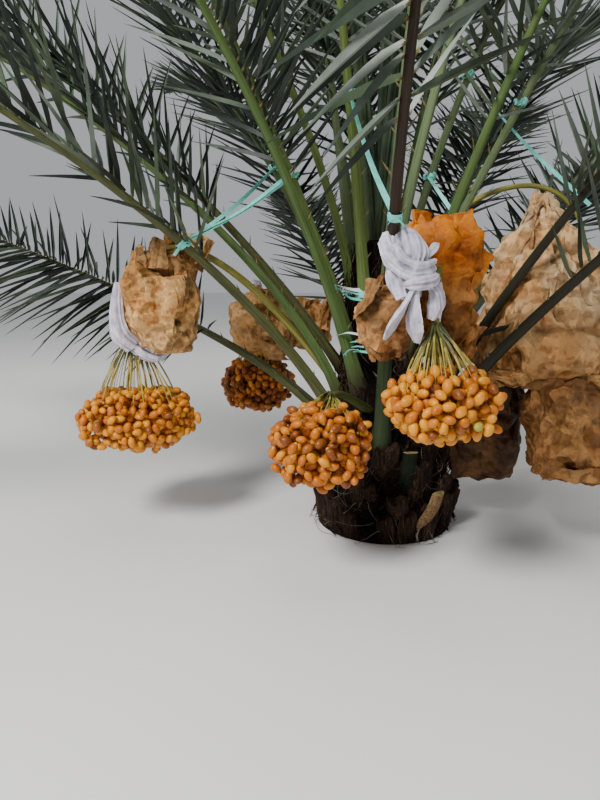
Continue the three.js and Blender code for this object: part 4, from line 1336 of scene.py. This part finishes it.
def makeLeaflets():
    groups = {"Left": range(0, 10), "Right": (*range(10, 18), 27), "Back": range(18, 27)}
    swellings, points = Heap(), Heap()
    for name, members in groups.items():
        heap = Heap()
        for index in members:
            for side in (-1, 1):
                growSide(heap, swellings, ribLines[index], side)
            endLeaf(heap, ribLines[index])
            addSpines(points, ribLines[index])
        piece = heap.build(f"leaflets{name}", [looks[look] for look in leafLooks], 40)
        finishPiece(piece, "frond_green")
        print("leaflets", name, len(piece.data.polygons))
    finishPiece(swellings.build("leafletBases", (looks["callus"],), 60), "frond_green")
    finishPiece(points.build("frondSpines", (looks["callus"],), 60), "frond_green")


makeLeaflets()


# Spears: closed young fronds, still folded like a fan

spears = {
    "foot": 0.99, "radius": 0.03, "folds": 9, "foldDepth": 0.22, "flat": 0.8, "twist": 1.2, "steps": 22,
    "profile": ((0, 0.8), (0.1, 0.9), (0.5, 0.75), (0.85, 0.42), (1, 0.06)),
    "leaves": ((60, 3, 2.25), (180, 7, 1.9), (300, 8, 1.7)),
}


def makeSpears():
    heap = Heap()
    section = roundSection(spears["folds"] * 4, spears["flat"])
    angles = np.arange(len(section)) * 2 * math.pi / len(section)
    section = section * (1 + spears["foldDepth"] * np.cos(spears["folds"] * angles))[:, None]
    t = np.linspace(0, 1, spears["steps"])
    grow = spears["radius"] * np.interp(t, *zip(*spears["profile"]))
    for turn, lean, length in spears["leaves"]:
        heading = compass(turn) * math.sin(math.radians(lean)) + up * math.cos(math.radians(lean))
        path = trunkAxis(spears["foot"]) + heading * (length * t)[:, None]
        heap.add(*swept(path, section, grow, spears["twist"] * t))
    piece = heap.build("spearLeaves", (looks["leafGreen"], looks["leafPale"]), 50)
    finishPiece(piece, "frond_green", "spear_leaves")


makeSpears()
print("fronds made")


# Fruit: ovals pushed close together over each bunch, hung on strands

fruitShape = {
    "long": 0.037, "wide": 0.0268, "taper": 0.1, "spacing": 0.0285, "inner": 0.74, "core": 0.5,
              "flatTop": 2.3,
    "rounds": 30, "push": 0.3, "lumps": 0.16, "leanLeast": 35, "leanMost": 88, "crowd": (0.88, 0.95, 0.95),
    "capRadii": (0.0056, 0.0026), "capDepth": 0.004, "capSink": 0.0002,
    "looks": ("fruitGold", "fruitOrange", "fruitAmber", "fruitUnripe", "strand"),
}
strandShape = {"count": 46, "radius": 0.0017, "around": 5, "steps": 14, "thickens": (0.8, 1.5),
               "from": (0.002, 0.011), "up": (0.0, 0.036), "stray": 0.006, "under": 0.008}
knobShape = {"high": 0.006, "low": -0.03, "radii": (0.011, 0.014, 0.0155, 0.0155, 0.013, 0.008)}


def cornersOf(piece):
    editAll(piece)
    bpy.ops.mesh.quads_convert_to_tris()
    leaveEdit()
    corners = np.empty(len(piece.data.polygons) * 3, np.int32)
    piece.data.polygons.foreach_get("vertices", corners)
    return corners.reshape(-1, 3)


def modelFruit():
    # One oval fruit along +Z from its cap at 0, and its small cap.
    shape = fruitShape
    leaveEdit()
    bpy.ops.mesh.primitive_uv_sphere_add(segments=9, ring_count=7, radius=0.5)
    body = bpy.context.object
    points = pointsOf(body) * (shape["wide"], shape["wide"], shape["long"])
    points[:, 2] += shape["long"] / 2
    points[:, :2] *= (1 - shape["taper"] * (points[:, 2] / shape["long"]) ** 2)[:, None]
    setPoints(body, points)
    bodyCorners = cornersOf(body)
    low, high = shape["capRadii"]
    bpy.ops.mesh.primitive_cone_add(
        vertices=6, radius1=low, radius2=high, depth=shape["capDepth"], location=(0, 0, -shape["capSink"]))
    cap = bpy.context.object
    settle(cap)
    capCorners = cornersOf(cap)[:, ::-1]
    result = (pointsOf(body), bodyCorners, pointsOf(cap) * (1, 1, -1), capCorners)
    discard(body)
    discard(cap)
    return result


def spread(count):
    # Directions spaced evenly over a ball.
    i = np.arange(count)
    level = 1 - 2 * (i + 0.5) / count
    ring = np.sqrt(1 - level ** 2)
    angle = np.radians(i * 137.508)
    return np.stack((ring * np.cos(angle), ring * np.sin(angle), level), 1)


def seatFruit(half, rng, seed, crowd):
    # Centres over a lumpy, flat-topped shell, pushed apart until few overlap.
    shape = fruitShape
    area = 4 * math.pi * (half[0] * half[1] + half[1] * half[2] + half[2] * half[0]) / 3
    count = int(area / shape["spacing"] ** 2 * crowd)
    away = unit(spread(count) + rng.normal(0, 0.08, (count, 3)))
    reach = (np.abs(away) ** shape["flatTop"]).sum(1) ** (-1 / shape["flatTop"])
    lumps = np.array([noise.noise(Vector(direction * 2.6) + Vector((seed * 7, 0, 0))) for direction in away])
    swell = 0.97 + shape["lumps"] * lumps + rng.uniform(-0.09, 0.03, count)
    seats = away * half * (reach * swell)[:, None]
    for _ in range(shape["rounds"]):
        gaps = seats[:, None] - seats[None]
        distance = np.linalg.norm(gaps, axis=-1) + np.eye(count)
        push = np.clip(shape["spacing"] - distance, 0, None) * (1 - np.eye(count))
        seats = seats + (gaps * (push / distance)[..., None]).sum(1) * shape["push"]
    return seats


def addLayer(heap, spec, layer, rng, fruit):
    # One shell of fruit. Only the outermost has caps, and it gives the seats that strands hang on.
    shape, outermost = fruitShape, layer == 0
    middle, half = np.array(spec["middle"]), np.array(spec["size"]) / 2
    bodyPoints, bodyCorners, capPoints, capCorners = fruit
    inner = (half - shape["wide"] * 0.5) * (1.0, shape["inner"], shape["core"])[layer]
    seats = seatFruit(inner, rng, spec["seed"], shape["crowd"][layer])
    outward = unit(seats / inner ** 2)
    aside = unit(np.cross(outward, rng.normal(0, 1, outward.shape)))
    lean = np.radians(rng.uniform(shape["leanLeast"], shape["leanMost"], len(seats)))
    axis = unit(outward * np.cos(lean)[:, None] + aside * np.sin(lean)[:, None] - up * 0.12)
    green = np.argmin(np.linalg.norm(seats - half * np.array(spec.get("green", (9, 9, 9))), axis=1))
    for k in range(len(seats)):
        x = unit(np.cross(axis[k], aside[k] + 0.01))
        turn = np.stack((x, np.cross(axis[k], x), axis[k])) * rng.uniform(0.84, 1.08)
        root = middle + seats[k] - axis[k] * shape["long"] * 0.5
        look = rng.choice(3, p=spec["tone"])
        if "green" in spec and outermost and k == green:
            look = 3
        heap.add(bodyPoints @ turn + root, bodyCorners, look)
        if outermost:
            heap.add(capPoints @ turn + root, capCorners, 4)
    across = np.hypot(seats[:, 0] / half[0], seats[:, 1] / half[1])
    return [(middle + seats[k], outward[k]) for k in np.flatnonzero((across < 0.74) & (seats[:, 2] > 0))]


def hangStrands(heap, end, tops, rng):
    shape, steps, sides = strandShape, strandShape["steps"], strandShape["around"]
    for k in rng.permutation(len(tops))[:shape["count"]]:
        place, away = tops[k]
        flare = unit(np.array((away[0], away[1], 0.0)) + 1e-6)
        start = end + flare * rng.uniform(*shape["from"]) + up * rng.uniform(*shape["up"])
        drop = end[2] - place[2]
        first = mix(start, place, 0.3) + up * drop * 0.04 + rng.normal(0, shape["stray"], 3)
        second = mix(start, place, 0.68) + up * drop * rng.uniform(0.02, 0.1) + flare * shape["stray"]
        path = bezier((start, first, second, place - flare * shape["under"]), steps)
        radius = shape["radius"] * rng.uniform(*shape["thickens"])
        points, corners = swept(path, roundSection(sides), radius * np.linspace(1.4, 0.75, steps + 1))
        ring = np.arange(steps * sides) // sides
        green = np.concatenate((ring, ring, np.zeros(sides, int), np.full(sides, steps))) < rng.integers(3, 9)
        heap.add(points, corners, green.astype(int))
    knob = np.linspace(knobShape["high"], knobShape["low"], len(knobShape["radii"]))
    heap.add(*swept(end + up * knob[:, None], roundSection(10), knobShape["radii"]), 1)


def makeBunch(name, spec, end, fruit):
    rng = np.random.default_rng(spec["seed"])
    heap = Heap()
    tops, _, _ = (addLayer(heap, spec, layer, rng, fruit) for layer in range(3))
    piece = heap.build(f"fruit_{name}", [looks[look] for look in fruitShape["looks"]], 60)
    finishPiece(piece, "fruit", f"bunch_{name}")
    heap = Heap()
    hangStrands(heap, np.array(end), tops, rng)
    finishPiece(heap.build(f"strands_{name}", (looks["strand"], looks["strandGreen"]), 50), "stalk_green")
    return len(piece.data.polygons)


def makeBunches():
    fruit = modelFruit()
    for name, spec in bunches.items():
        print("bunch", name, makeBunch(name, spec, stalks[name]["end"], fruit))


makeBunches()


# Bags: a ring of paper drawn up through its outline, dented, flapped and crumpled

paper = {
    "sizes": ((0.11, 0.02), (0.05, 0.013), (0.022, 0.0045)), "stretch": 0.5, "rough": 0.012, "finer": 3,
    "gatherFrom": 0.45, "gatherOver": 0.4, "hem": 0.25, "dipFrom": 0.74, "dipOver": 0.26, "dipTurn": 90,
    "lip": 0.03, "lipFrom": 0.8, "lipOver": 0.2, "sitsBelow": 0.006, "flatten": 0.04,
    "thickness": 0.0011, "crisp": 9, "foldRounds": 2, "foldReach": 0.0024,
}
flapShape = {
    "cells": 12, "sizes": ((0.045, 0.009), (0.02, 0.004)), "wander": (0.05, 0.09), "ease": 0.4,
    "waves": 3, "height": 0.004, "finer": 1,
}


def outwardOf(piece):
    normals = np.empty(len(piece.data.vertices) * 3, np.float32)
    piece.data.vertex_normals.foreach_get("vector", normals)
    return normals.reshape(-1, 3).astype(float)


def crumple(piece, seed, sizes):
    # Hollow facets that meet in sharp ridges, the broad ones first.
    rng = np.random.default_rng(seed)
    area = sum(face.area for face in piece.data.polygons)
    for size, height in sizes:
        points, normals = pointsOf(piece), outwardOf(piece)
        stretch = 1 + unit(rng.normal(0, 1, 3)) * paper["stretch"]
        seats = points[rng.integers(len(points), size=max(4, int(area / size ** 2)))] * stretch
        tree = kdtree.KDTree(len(seats))
        for number, seat in enumerate(seats):
            tree.insert(seat, number)
        tree.balance()
        gaps = np.array([tree.find(point)[2] for point in points * stretch])
        rise = (gaps / size) ** 2 * height
        setPoints(piece, points + normals * np.clip(rise - rise.mean(), -height, height)[:, None])


def keepFold(piece, rounds, reach):
    # Keeps how far each point lies below its surroundings, from 0 on a ridge to 1 in a valley, for the
    # painted shade in the creases.
    points, normals = pointsOf(piece), outwardOf(piece)
    ends = np.empty(len(piece.data.edges) * 2, np.int32)
    piece.data.edges.foreach_get("vertices", ends)
    ends = ends.reshape(-1, 2)
    near, far = np.concatenate((ends[:, 0], ends[:, 1])), np.concatenate((ends[:, 1], ends[:, 0]))
    count = np.maximum(np.bincount(near, minlength=len(points)), 1)
    level = points.copy()
    for _ in range(rounds):
        beside = [np.bincount(near, level[far, k], len(points)) for k in range(3)]
        level = np.stack(beside, 1) / count[:, None]
    sunk = ((level - points) * normals).sum(1)
    attribute = piece.data.attributes.new("fold", "FLOAT", "POINT")
    attribute.data.foreach_set("value", np.clip(0.5 + sunk / reach, 0, 1).astype(np.float32))


def finerPaper(piece, cuts):
    # Splits each triangle into four, in numbers: the operator orders its points anew in each run.
    for _ in range(cuts):
        points, whole = pointsOf(piece), piece.data
        corners = np.empty(len(whole.loops), np.int32)
        whole.loops.foreach_get("vertex_index", corners)
        corners = corners.reshape(-1, 3)
        sides = np.sort(np.concatenate((corners[:, [0, 1]], corners[:, [1, 2]], corners[:, [2, 0]])), axis=1)
        edges, place = np.unique(sides, axis=0, return_inverse=True)
        middles = place.ravel().reshape(3, -1).T + len(points)
        faces = np.concatenate([
            np.stack((corners[:, k], middles[:, k], middles[:, k - 1]), 1) for k in range(3)] + [middles])
        piece.data = bpy.data.meshes.new(piece.name)
        piece.data.from_pydata(np.concatenate((points, points[edges].mean(1))).tolist(), [], faces.tolist())
        bpy.data.meshes.remove(whole)


def modelFlap(name, corners, bulge, seed):
    # A loose sheet of paper between four corners.
    shape = flapShape
    leaveEdit()
    bpy.ops.mesh.primitive_grid_add(x_subdivisions=shape["cells"], y_subdivisions=shape["cells"], size=1)
    piece = bpy.context.object
    piece.name = name
    settle(piece)
    rng = np.random.default_rng(seed)
    a, b, c, d = (np.array(corner) for corner in corners)
    flat = pointsOf(piece)
    u, v = flat[:, :1] + 0.5, flat[:, 1:2] + 0.5
    u = u + shape["wander"][0] * np.sin(7 * v + seed) * (1 - 2 * u)
    v = v + shape["wander"][1] * np.sin(5 * u + seed * 2) * v
    points = (a * (1 - u) + b * u) * (1 - v) + (d * (1 - u) + c * u) * v
    points = points + np.array(bulge) * (4 * u * (1 - u)) * (1 - shape["ease"] * v)
    out = unit(np.cross(b - a, d - a))
    for _ in range(shape["waves"]):
        phase, lean = rng.uniform(0, 6), rng.uniform(-2, 2)
        points = points + out * shape["height"] * np.sin(rng.uniform(6, 15) * u + lean * v + phase)
    setPoints(piece, points)
    editAll(piece)
    bpy.ops.mesh.quads_convert_to_tris(quad_method="LONGEST_DIAGONAL")
    leaveEdit()
    finerPaper(piece, shape["finer"])
    crumple(piece, seed, shape["sizes"])
    return piece


def drawnUp(name, spec, low):
    # The outline's rings, one above another.
    outline = bagOutlines[spec["outline"]]
    x, y, z = spec["middle"]
    width, depth, height = spec["size"]
    rise, share = outline[0]
    leaveEdit()
    start = (x + spec["tip"][0] * rise, y + spec["tip"][1] * rise, low + height * rise)
    bpy.ops.mesh.primitive_circle_add(vertices=spec["around"], radius=1, fill_type="NOTHING", location=start)
    piece = bpy.context.object
    piece.name = name
    settle(piece)
    editAll(piece)
    bpy.ops.transform.resize(value=(width / 2 * share, depth / 2 * share, 1), center_override=start)
    for following, broad in outline[1:]:
        step = following - rise
        bpy.ops.mesh.extrude_region_move(TRANSFORM_OT_translate={
            "value": (spec["tip"][0] * step, spec["tip"][1] * step, height * step)})
        centre = (x + spec["tip"][0] * following, y + spec["tip"][1] * following, low + height * following)
        bpy.ops.transform.resize(value=(broad / share, broad / share, 1), center_override=centre)
        rise, share = following, broad
    leaveEdit()
    return piece


def bagFolds(piece, spec, low):
    # Flattens the sides between the corners, gathers the neck and lets the hem and the lip wave.
    rng = np.random.default_rng(spec["seed"])
    x, y, _ = spec["middle"]
    width, depth, height = spec["size"]
    points = pointsOf(piece)
    level = (points[:, 2] - low) / height
    axis = np.stack((x + spec["tip"][0] * level, y + spec["tip"][1] * level, points[:, 2]), 1)
    away = points - axis
    angle = np.arctan2(away[:, 1] / depth, away[:, 0] / width)
    wedge = 2 * math.pi / spec["corners"]
    inWedge = (angle - math.radians(spec["start"])) % wedge - wedge / 2
    flat = math.cos(wedge / 2) / np.cos(inWedge)
    shape = mix(1, flat / (flat.mean() + paper["flatten"]), spec["square"])
    phases = rng.uniform(0, 2 * math.pi, 6)
    gather = np.clip((level - paper["gatherFrom"]) / paper["gatherOver"], 0, 1) ** 1.5
    hem = np.clip((paper["hem"] - level) / paper["hem"], 0, 1)
    fold = (gather * (np.sin(7 * angle + phases[0] + 1.5 * level) + 0.6 * np.sin(11 * angle + phases[1]))
            + 0.5 * hem * np.sin(6 * angle + phases[2]) + 0.35 * np.sin(3 * angle + phases[3] + 3 * level))
    shape *= 1 + spec["pleats"] * fold
    points = axis + away * shape[:, None]
    if spec.get("dip"):
        toEye = np.cos(angle + math.radians(paper["dipTurn"]))
        upper = np.clip((level - paper["dipFrom"]) / paper["dipOver"], 0, 1)
        points[:, 2] -= spec["dip"] * upper * np.clip(0.5 + 0.5 * toEye, 0, 1)
    upper = np.clip((level - paper["lipFrom"]) / paper["lipOver"], 0, 1)
    points[:, 2] += paper["lip"] * height * np.sin(4 * angle + phases[4]) * upper
    setPoints(piece, points)


def modelBag(name, spec, node):
    low = spec["middle"][2] - spec["size"][2] / 2
    piece = drawnUp(name, spec, low)
    bagFolds(piece, spec, low)
    editAll(piece)
    bpy.ops.mesh.normals_make_consistent(inside=False)
    bpy.ops.transform.vertex_random(
        offset=spec.get("rough", paper["rough"]), uniform=0.5, normal=0.3, seed=spec["seed"])
    bpy.ops.mesh.quads_convert_to_tris(quad_method="SHORTEST_DIAGONAL")
    leaveEdit()
    finerPaper(piece, paper["finer"])
    points = pointsOf(piece)
    for place, reach, push in spec["dents"]:
        near = np.clip(1 - ((points - place) ** 2).sum(1) / (4 * reach ** 2), 0, 1) ** 2
        points += near[:, None] * push
    setPoints(piece, points)

    flaps = [modelFlap(f"{name}Flap{i}", corners, bulge, spec["seed"] + i)
             for i, (*corners, bulge) in enumerate(spec["flaps"])]
    crumple(piece, spec["seed"], paper["sizes"])
    piece = joined([piece, *flaps], name)
    points = pointsOf(piece)
    points[:, 2] = np.maximum(points[:, 2], low - paper["sitsBelow"])
    setPoints(piece, points)
    keepFold(piece, paper["foldRounds"], paper["foldReach"])
    sheet = piece.modifiers.new("sheet", "SOLIDIFY")
    sheet.thickness = paper["thickness"]
    sheet.offset = 0
    applyModifiers(piece)
    wear(piece, looks[spec["look"]])
    smoothPiece(piece, paper["crisp"])
    finishPiece(piece, "kraft_paper", node)
    return len(piece.data.polygons)


def makeBags():
    for name, spec in bags.items():
        node = "bag_back" if name == "back_lobe" else f"bag_{name}"
        print("bag", name, modelBag(f"paper_{name}", spec, node))


makeBags()


# Netting: gathered gauze, swept as pleated ropes that loop, knot and hang, then drawn into one skin

netShape = {
    "sizes": ((0.03, 0.003), (0.013, 0.0014)), "pleats": 17, "waves": ((4, 0.1), (7, 0.09), (11, 0.07)),
    "pleatDepth": 0.05, "rolls": (-0.7, 0.9), "grain": 0.002, "soften": 0.4, "rounds": 1, "seed": 7,
    "foldRounds": 14, "foldReach": 0.009, "knob": (-0.507, 0.46, 0.885),
}
# Ropes are points from the net's middle, widths along them and how flat they are.
frontRopes = (
    ([(-0.062, 0.0, 0.13), (-0.055, -0.01, 0.08), (-0.038, -0.02, 0.03), (-0.028, -0.02, -0.03)],
     (0.02, 0.036, 0.044, 0.03), 0.85),
    ([(-0.05, -0.01, 0.146), (-0.034, -0.034, 0.115), (-0.022, -0.048, 0.08), (-0.026, -0.052, 0.045)],
     (0.011, 0.026, 0.032, 0.022), 0.75),
    ([(-0.09, 0.0, 0.13), (-0.094, -0.022, 0.1), (-0.08, -0.045, 0.062), (-0.05, -0.06, 0.034)],
     (0.009, 0.018, 0.022, 0.02), 0.8),
    ([(-0.098, -0.012, 0.098), (-0.084, -0.05, 0.058), (-0.045, -0.076, 0.03), (0.0, -0.07, 0.03),
      (0.026, -0.04, 0.046)], (0.011, 0.015, 0.017, 0.015, 0.009), 0.7),
    ([(-0.072, -0.036, 0.1), (-0.055, -0.066, 0.066), (-0.018, -0.076, 0.05), (0.022, -0.048, 0.06)],
     (0.009, 0.013, 0.014, 0.01), 0.7),
    ([(-0.08, -0.02, 0.05), (-0.072, -0.042, 0.01), (-0.055, -0.048, -0.03)], (0.014, 0.021, 0.016), 0.8),
    ([(-0.048, -0.06, 0.006), (-0.022, -0.086, 0.008), (0.01, -0.075, 0.012), (0.03, -0.045, 0.022)],
     (0.012, 0.021, 0.02, 0.012), 0.9),
    ([(0.0, -0.034, 0.06), (0.018, -0.036, 0.085), (0.03, -0.026, 0.106)], (0.013, 0.019, 0.01), 0.35),
    ([(0.012, -0.055, 0.008), (0.028, -0.056, -0.018), (0.03, -0.054, -0.05), (0.02, -0.046, -0.08)],
     (0.012, 0.024, 0.026, 0.011), 0.75),
    ([(0.038, -0.035, 0.01), (0.045, -0.032, -0.04), (0.044, -0.03, -0.1)], (0.012, 0.014, 0.008), 0.6),
    ([(-0.02, -0.064, -0.005), (-0.024, -0.064, -0.05), (-0.022, -0.058, -0.1), (-0.012, -0.05, -0.142)],
     (0.015, 0.024, 0.032, 0.028, 0.01), 0.4),
    ([(-0.03, -0.068, -0.004), (-0.05, -0.07, -0.045), (-0.074, -0.062, -0.09), (-0.094, -0.05, -0.134)],
     (0.013, 0.02, 0.028, 0.026, 0.008), 0.35),
)
leftRopes = (
    ([(0.055, -0.08, 0.125), (0.05, -0.09, 0.06), (0.048, -0.09, 0.0), (0.058, -0.09, -0.05),
      (0.09, -0.07, -0.09)],
     (0.016, 0.024, 0.028, 0.034, 0.03), 0.8),
    ([(0.05, -0.05, -0.03), (0.08, -0.05, -0.07), (0.12, -0.045, -0.1), (0.165, -0.04, -0.118),
      (0.2, -0.03, -0.1)],
     (0.03, 0.042, 0.044, 0.034, 0.016), 0.65),
)


# The knob of gauze at the top of the back bag.
knobRopes = (
    ([(-0.02, 0, -0.05), (-0.005, -0.01, -0.01), (0.0, -0.01, 0.012)], (0.02, 0.028, 0.014), 0.9),
)


def pleatedRope(heap, points, widths, flat, roll, steps=9):
    path = throughPoints(points, steps)
    t = np.linspace(0, 1, len(path))
    pleats = netShape["pleats"]
    angles = np.arange(pleats * 6) * 2 * math.pi / (pleats * 6)
    rng = np.random.default_rng(len(heap.points) + 3)
    waves = sum(size * (1 - 2 * np.abs(np.sin(count * angles / 2 + rng.uniform(0, 3))))
                for count, size in (*netShape["waves"], (pleats, netShape["pleatDepth"])))
    depth = 1 + waves
    section = np.stack((np.cos(angles) * depth, flat * np.sin(angles) * depth), 1)
    grow = np.interp(t, np.linspace(0, 1, len(widths)), widths)
    heap.add(*swept(path, section, grow, roll * t))


def modelNet(name, middle, ropes, node):
    heap = Heap()
    for number, (points, widths, flat) in enumerate(ropes):
        pleatedRope(heap, np.array(points) + middle, widths, flat, netShape["rolls"][number % 2])
    piece = heap.build(name, (looks["net"],), 60)
    whole = piece.modifiers.new("whole", "REMESH")
    whole.mode = "VOXEL"
    whole.voxel_size = netShape["grain"]
    softer = piece.modifiers.new("softer", "SMOOTH")
    softer.factor = netShape["soften"]
    softer.iterations = netShape["rounds"]
    applyModifiers(piece)
    crumple(piece, netShape["seed"], netShape["sizes"])
    keepFold(piece, netShape["foldRounds"], netShape["foldReach"])
    wear(piece, looks["net"])
    smoothPiece(piece, 60)
    finishPiece(piece, "netting", node)


def makeNets():
    modelNet("knottedNet", nets["front"]["middle"], frontRopes, "net_front")
    modelNet("hangingNet", nets["left"]["middle"], leftRopes, "net_left")
    modelNet("knobNet", netShape["knob"], knobRopes, "bag_back")


makeNets()
print("netting made")


# Tape ties between fronds, with a ring and a bow at each knot

tape = {"width": 0.0065, "thickness": 0.0007, "ringGap": 0.003, "pitch": 0.008, "inner": 0.0006,
        "outer": 0.0008, "ahead": 0.6, "closer": 0.55, "seed": 60}
tapeSection = np.array(((-1, -1), (1, -1), (1, 1), (-1, 1)), float)
tapeSize = np.array((tape["width"], tape["thickness"]))
# Each knot is on a frond's rib, at a share of its length.
knots = {
    "lowLeft": (1, 0.3), "highLeft": (6, 0.22), "behindLeft": (5, 0.275), "middle": (9, 0.26),
    "near": (10, 0.33), "right": (11, 0.135), "highRight": (14, 0.26), "nearHigh": (11, 0.255),
}


def addStrip(heap, points, steps=8, twist=0.0, narrow=1.0, look=0):
    path = throughPoints(points, steps)
    sizes = np.repeat(tapeSize[None] * narrow, len(path), 0)
    heap.add(*swept(path, tapeSection, sizes, twist * np.linspace(0, 1, len(path))), look)


def addRing(heap, number, share, turns=1, look=0):
    # Tape wound round a rib.
    centre, along, right, over, width = ribLines[number - 1].spot(share)
    across = width / 2 + tape["ringGap"]
    deep = (frondShape["depthShare"] * width + frondShape["depthMin"]) / 2 + tape["ringGap"]
    middle = centre - over * (deep - tape["ringGap"])
    angles = np.linspace(0, 2 * math.pi * turns, 20 * turns + 1)
    path = (middle + right * (across * np.cos(angles))[:, None] + over * (deep * np.sin(angles))[:, None]
            + along * (tape["pitch"] * angles / (2 * math.pi))[:, None])
    heading = unit(np.gradient(path, axis=0))
    outward = unit(path - middle - along * ((path - middle) * along).sum(-1)[:, None])
    side = np.cross(heading, outward)
    lower, upper = path + side * -tape["width"], path + side * tape["width"]
    inner, outer = outward * tape["inner"], outward * tape["outer"]
    heap.add(*skin(np.stack([lower - inner, upper - inner, upper + outer, lower + outer], 1)), look)


def addKnot(heap, spot, seed, size=0.017, look=0):
    # A crumpled knot with short uneven tails.
    rng = np.random.default_rng(seed)
    for side in (-1, 1):
        out = np.array((side * size, rng.uniform(-0.5, 0.0) * size, rng.uniform(-0.6, 0.7) * size))
        loop = [spot, spot + out * 0.7 + up * size * 0.4, spot + out * 0.9,
                spot + out * 0.4 - up * size * 0.4, spot]
        addStrip(heap, loop, 5, rng.uniform(-2, 2), 0.8, look)
        length = size * rng.uniform(0.8, 2.2)
        tail = np.array((side * rng.uniform(0.2, 1.0), rng.uniform(-0.5, 0), -rng.uniform(0.2, 1.0))) * length
        addStrip(heap, [spot, spot + tail * 0.5 + up * 0.003, spot + tail], 5, rng.uniform(-2, 2), 0.75, look)


def stretched(heap, start, end, sag=0.0, twist=2.0, look=0):
    middle = (start + end) / 2 - up * sag
    addStrip(heap, [start, middle, end], 12, twist, 1.0, look)


def tieKnots(heap):
    # Rings and knots on the fronds, and the tape from knot to knot.
    spots, front = {}, np.array((0, -1, 0))
    for number, (name, (rib, share)) in enumerate(knots.items()):
        centre, along, right, over, width = ribLines[rib - 1].spot(share)
        spots[name] = centre + front * width * tape["ahead"]
        addRing(heap, rib, share, 2)
        addKnot(heap, spots[name], tape["seed"] + number)
    lift = np.array((0, 0, 0.012))
    stretched(heap, spots["lowLeft"], spots["highLeft"], 0.01)
    stretched(heap, spots["lowLeft"] + lift, spots["highLeft"] + lift, 0.02, 1.0)
    stretched(heap, spots["lowLeft"], spots["behindLeft"], 0.015)
    hanging = [mix(spots["near"], spots["middle"], share) + (0, 0, -0.03 * math.sin(math.pi * share))
               for share in np.linspace(0, 1, 6)]
    addStrip(heap, hanging, 6, 0.8, 1.5)
    stretched(heap, spots["nearHigh"], np.array((0.629, -0.14, 1.145)), 0.02)
    stretched(heap, spots["right"], np.array((0.231, -0.35, 0.993)), 0.01)


def tieMiddle(heap):
    # The two tapes between the middle fronds.
    front, ends = np.array((0, -1, 0)), []
    for rib, share in ((6, 0.09), (9, 0.045)):
        centre, along, right, over, width = ribLines[rib - 1].spot(share)
        ends.append(centre + front * width * tape["closer"])
        addRing(heap, rib, share, 2)
    left, right = ends
    stretched(heap, left, right, 0.0, 0.6)
    stretched(heap, left + (0.004, 0, 0.01), right + (0.0, -0.004, 0.02), 0.006, 1.5, 1)
    stretched(heap, left + (0.01, 0, -0.004), right + (-0.012, 0, -0.012), 0.012, 1.0)


def tieRag(heap):
    # The string and the rag low down behind the tapes.
    rag = np.array((-0.1, -0.19, 0.69))
    string = [(-0.19, -0.17, 0.722), (-0.165, -0.2, 0.732), (-0.13, -0.2, 0.727), rag + (-0.01, -0.01, 0.03)]
    addStrip(heap, string, 6, 2.0, 0.6, 1)
    for height, reach in ((0.012, 0.05), (-0.004, 0.046), (-0.02, 0.04)):
        around = [rag + (reach * math.cos(a), -0.012 + 0.03 * math.sin(a), height + 0.004 * math.sin(2 * a))
                  for a in np.linspace(0.2, 2 * math.pi - 0.2, 9)]
        addStrip(heap, around, 5, 0.6, 0.9)
    rightEnd = [rag + (0.03, -0.04, 0.0), rag + (0.065, -0.045, 0.006), rag + (0.1, -0.04, 0.0)]
    leftEnd = [rag + (-0.03, -0.04, -0.01), rag + (-0.06, -0.045, -0.012), rag + (-0.075, -0.04, -0.03)]
    addStrip(heap, rightEnd, 6, 0.4, 1.3, 1)
    addStrip(heap, leftEnd, 6, 0.8)
    for turn in range(3):
        knot = [rag + (0.018 * math.cos(a + turn), -0.045 + 0.006 * math.sin(3 * a),
                       0.028 + 0.02 * math.sin(a + turn)) for a in np.linspace(0, 5.2, 8)]
        addStrip(heap, knot, 5, 2.0, 1.2, 1)
    for rib, share in ((7, 0.025), (17, 0.03)):
        addRing(heap, rib, share, 2, 1)


def makeTies():
    heap = Heap()
    tieKnots(heap)
    tieMiddle(heap)
    tieRag(heap)
    finishPiece(heap.build("tapeTies", (looks["tape"], looks["tapePale"]), 30), "ribbon")


makeTies()
print("ties made")


# A cut green stub and a splayed dry one at the foot

# Each stub is three points, a radius and its skin's look. The section is a half moon.
stubs = {
    "sides": 14, "below": 0.55, "above": 0.2, "taper": (1.2, 0.9),
    "places": (((0.045, -0.2, 0.17), (0.05, -0.225, 0.25), (0.054, -0.235, 0.33), 0.03, 0),
               ((0.105, -0.2, 0.05), (0.135, -0.235, 0.13), (0.15, -0.25, 0.19), 0.034, 2)),
}


def makeStubs():
    heap = Heap()
    angles = np.arange(stubs["sides"]) * 2 * math.pi / stubs["sides"]
    halfMoon = np.array([(math.cos(a), (stubs["below"] if math.sin(a) < 0 else stubs["above"]) * math.sin(a))
                         for a in angles])
    for *line, radius, skinLook in stubs["places"]:
        path = throughPoints(line, 8)
        points, corners = swept(path, halfMoon, radius * np.linspace(*stubs["taper"], len(path)))
        look = np.full(len(corners), skinLook)
        look[-stubs["sides"]:] = 1
        heap.add(points, corners, look)
    piece = heap.build("cutStubs", (looks["stubGreen"], looks["stubCut"], looks["bootCut"]), 40)
    finishPiece(piece, "stalk_green")


makeStubs()
print("stubs made")
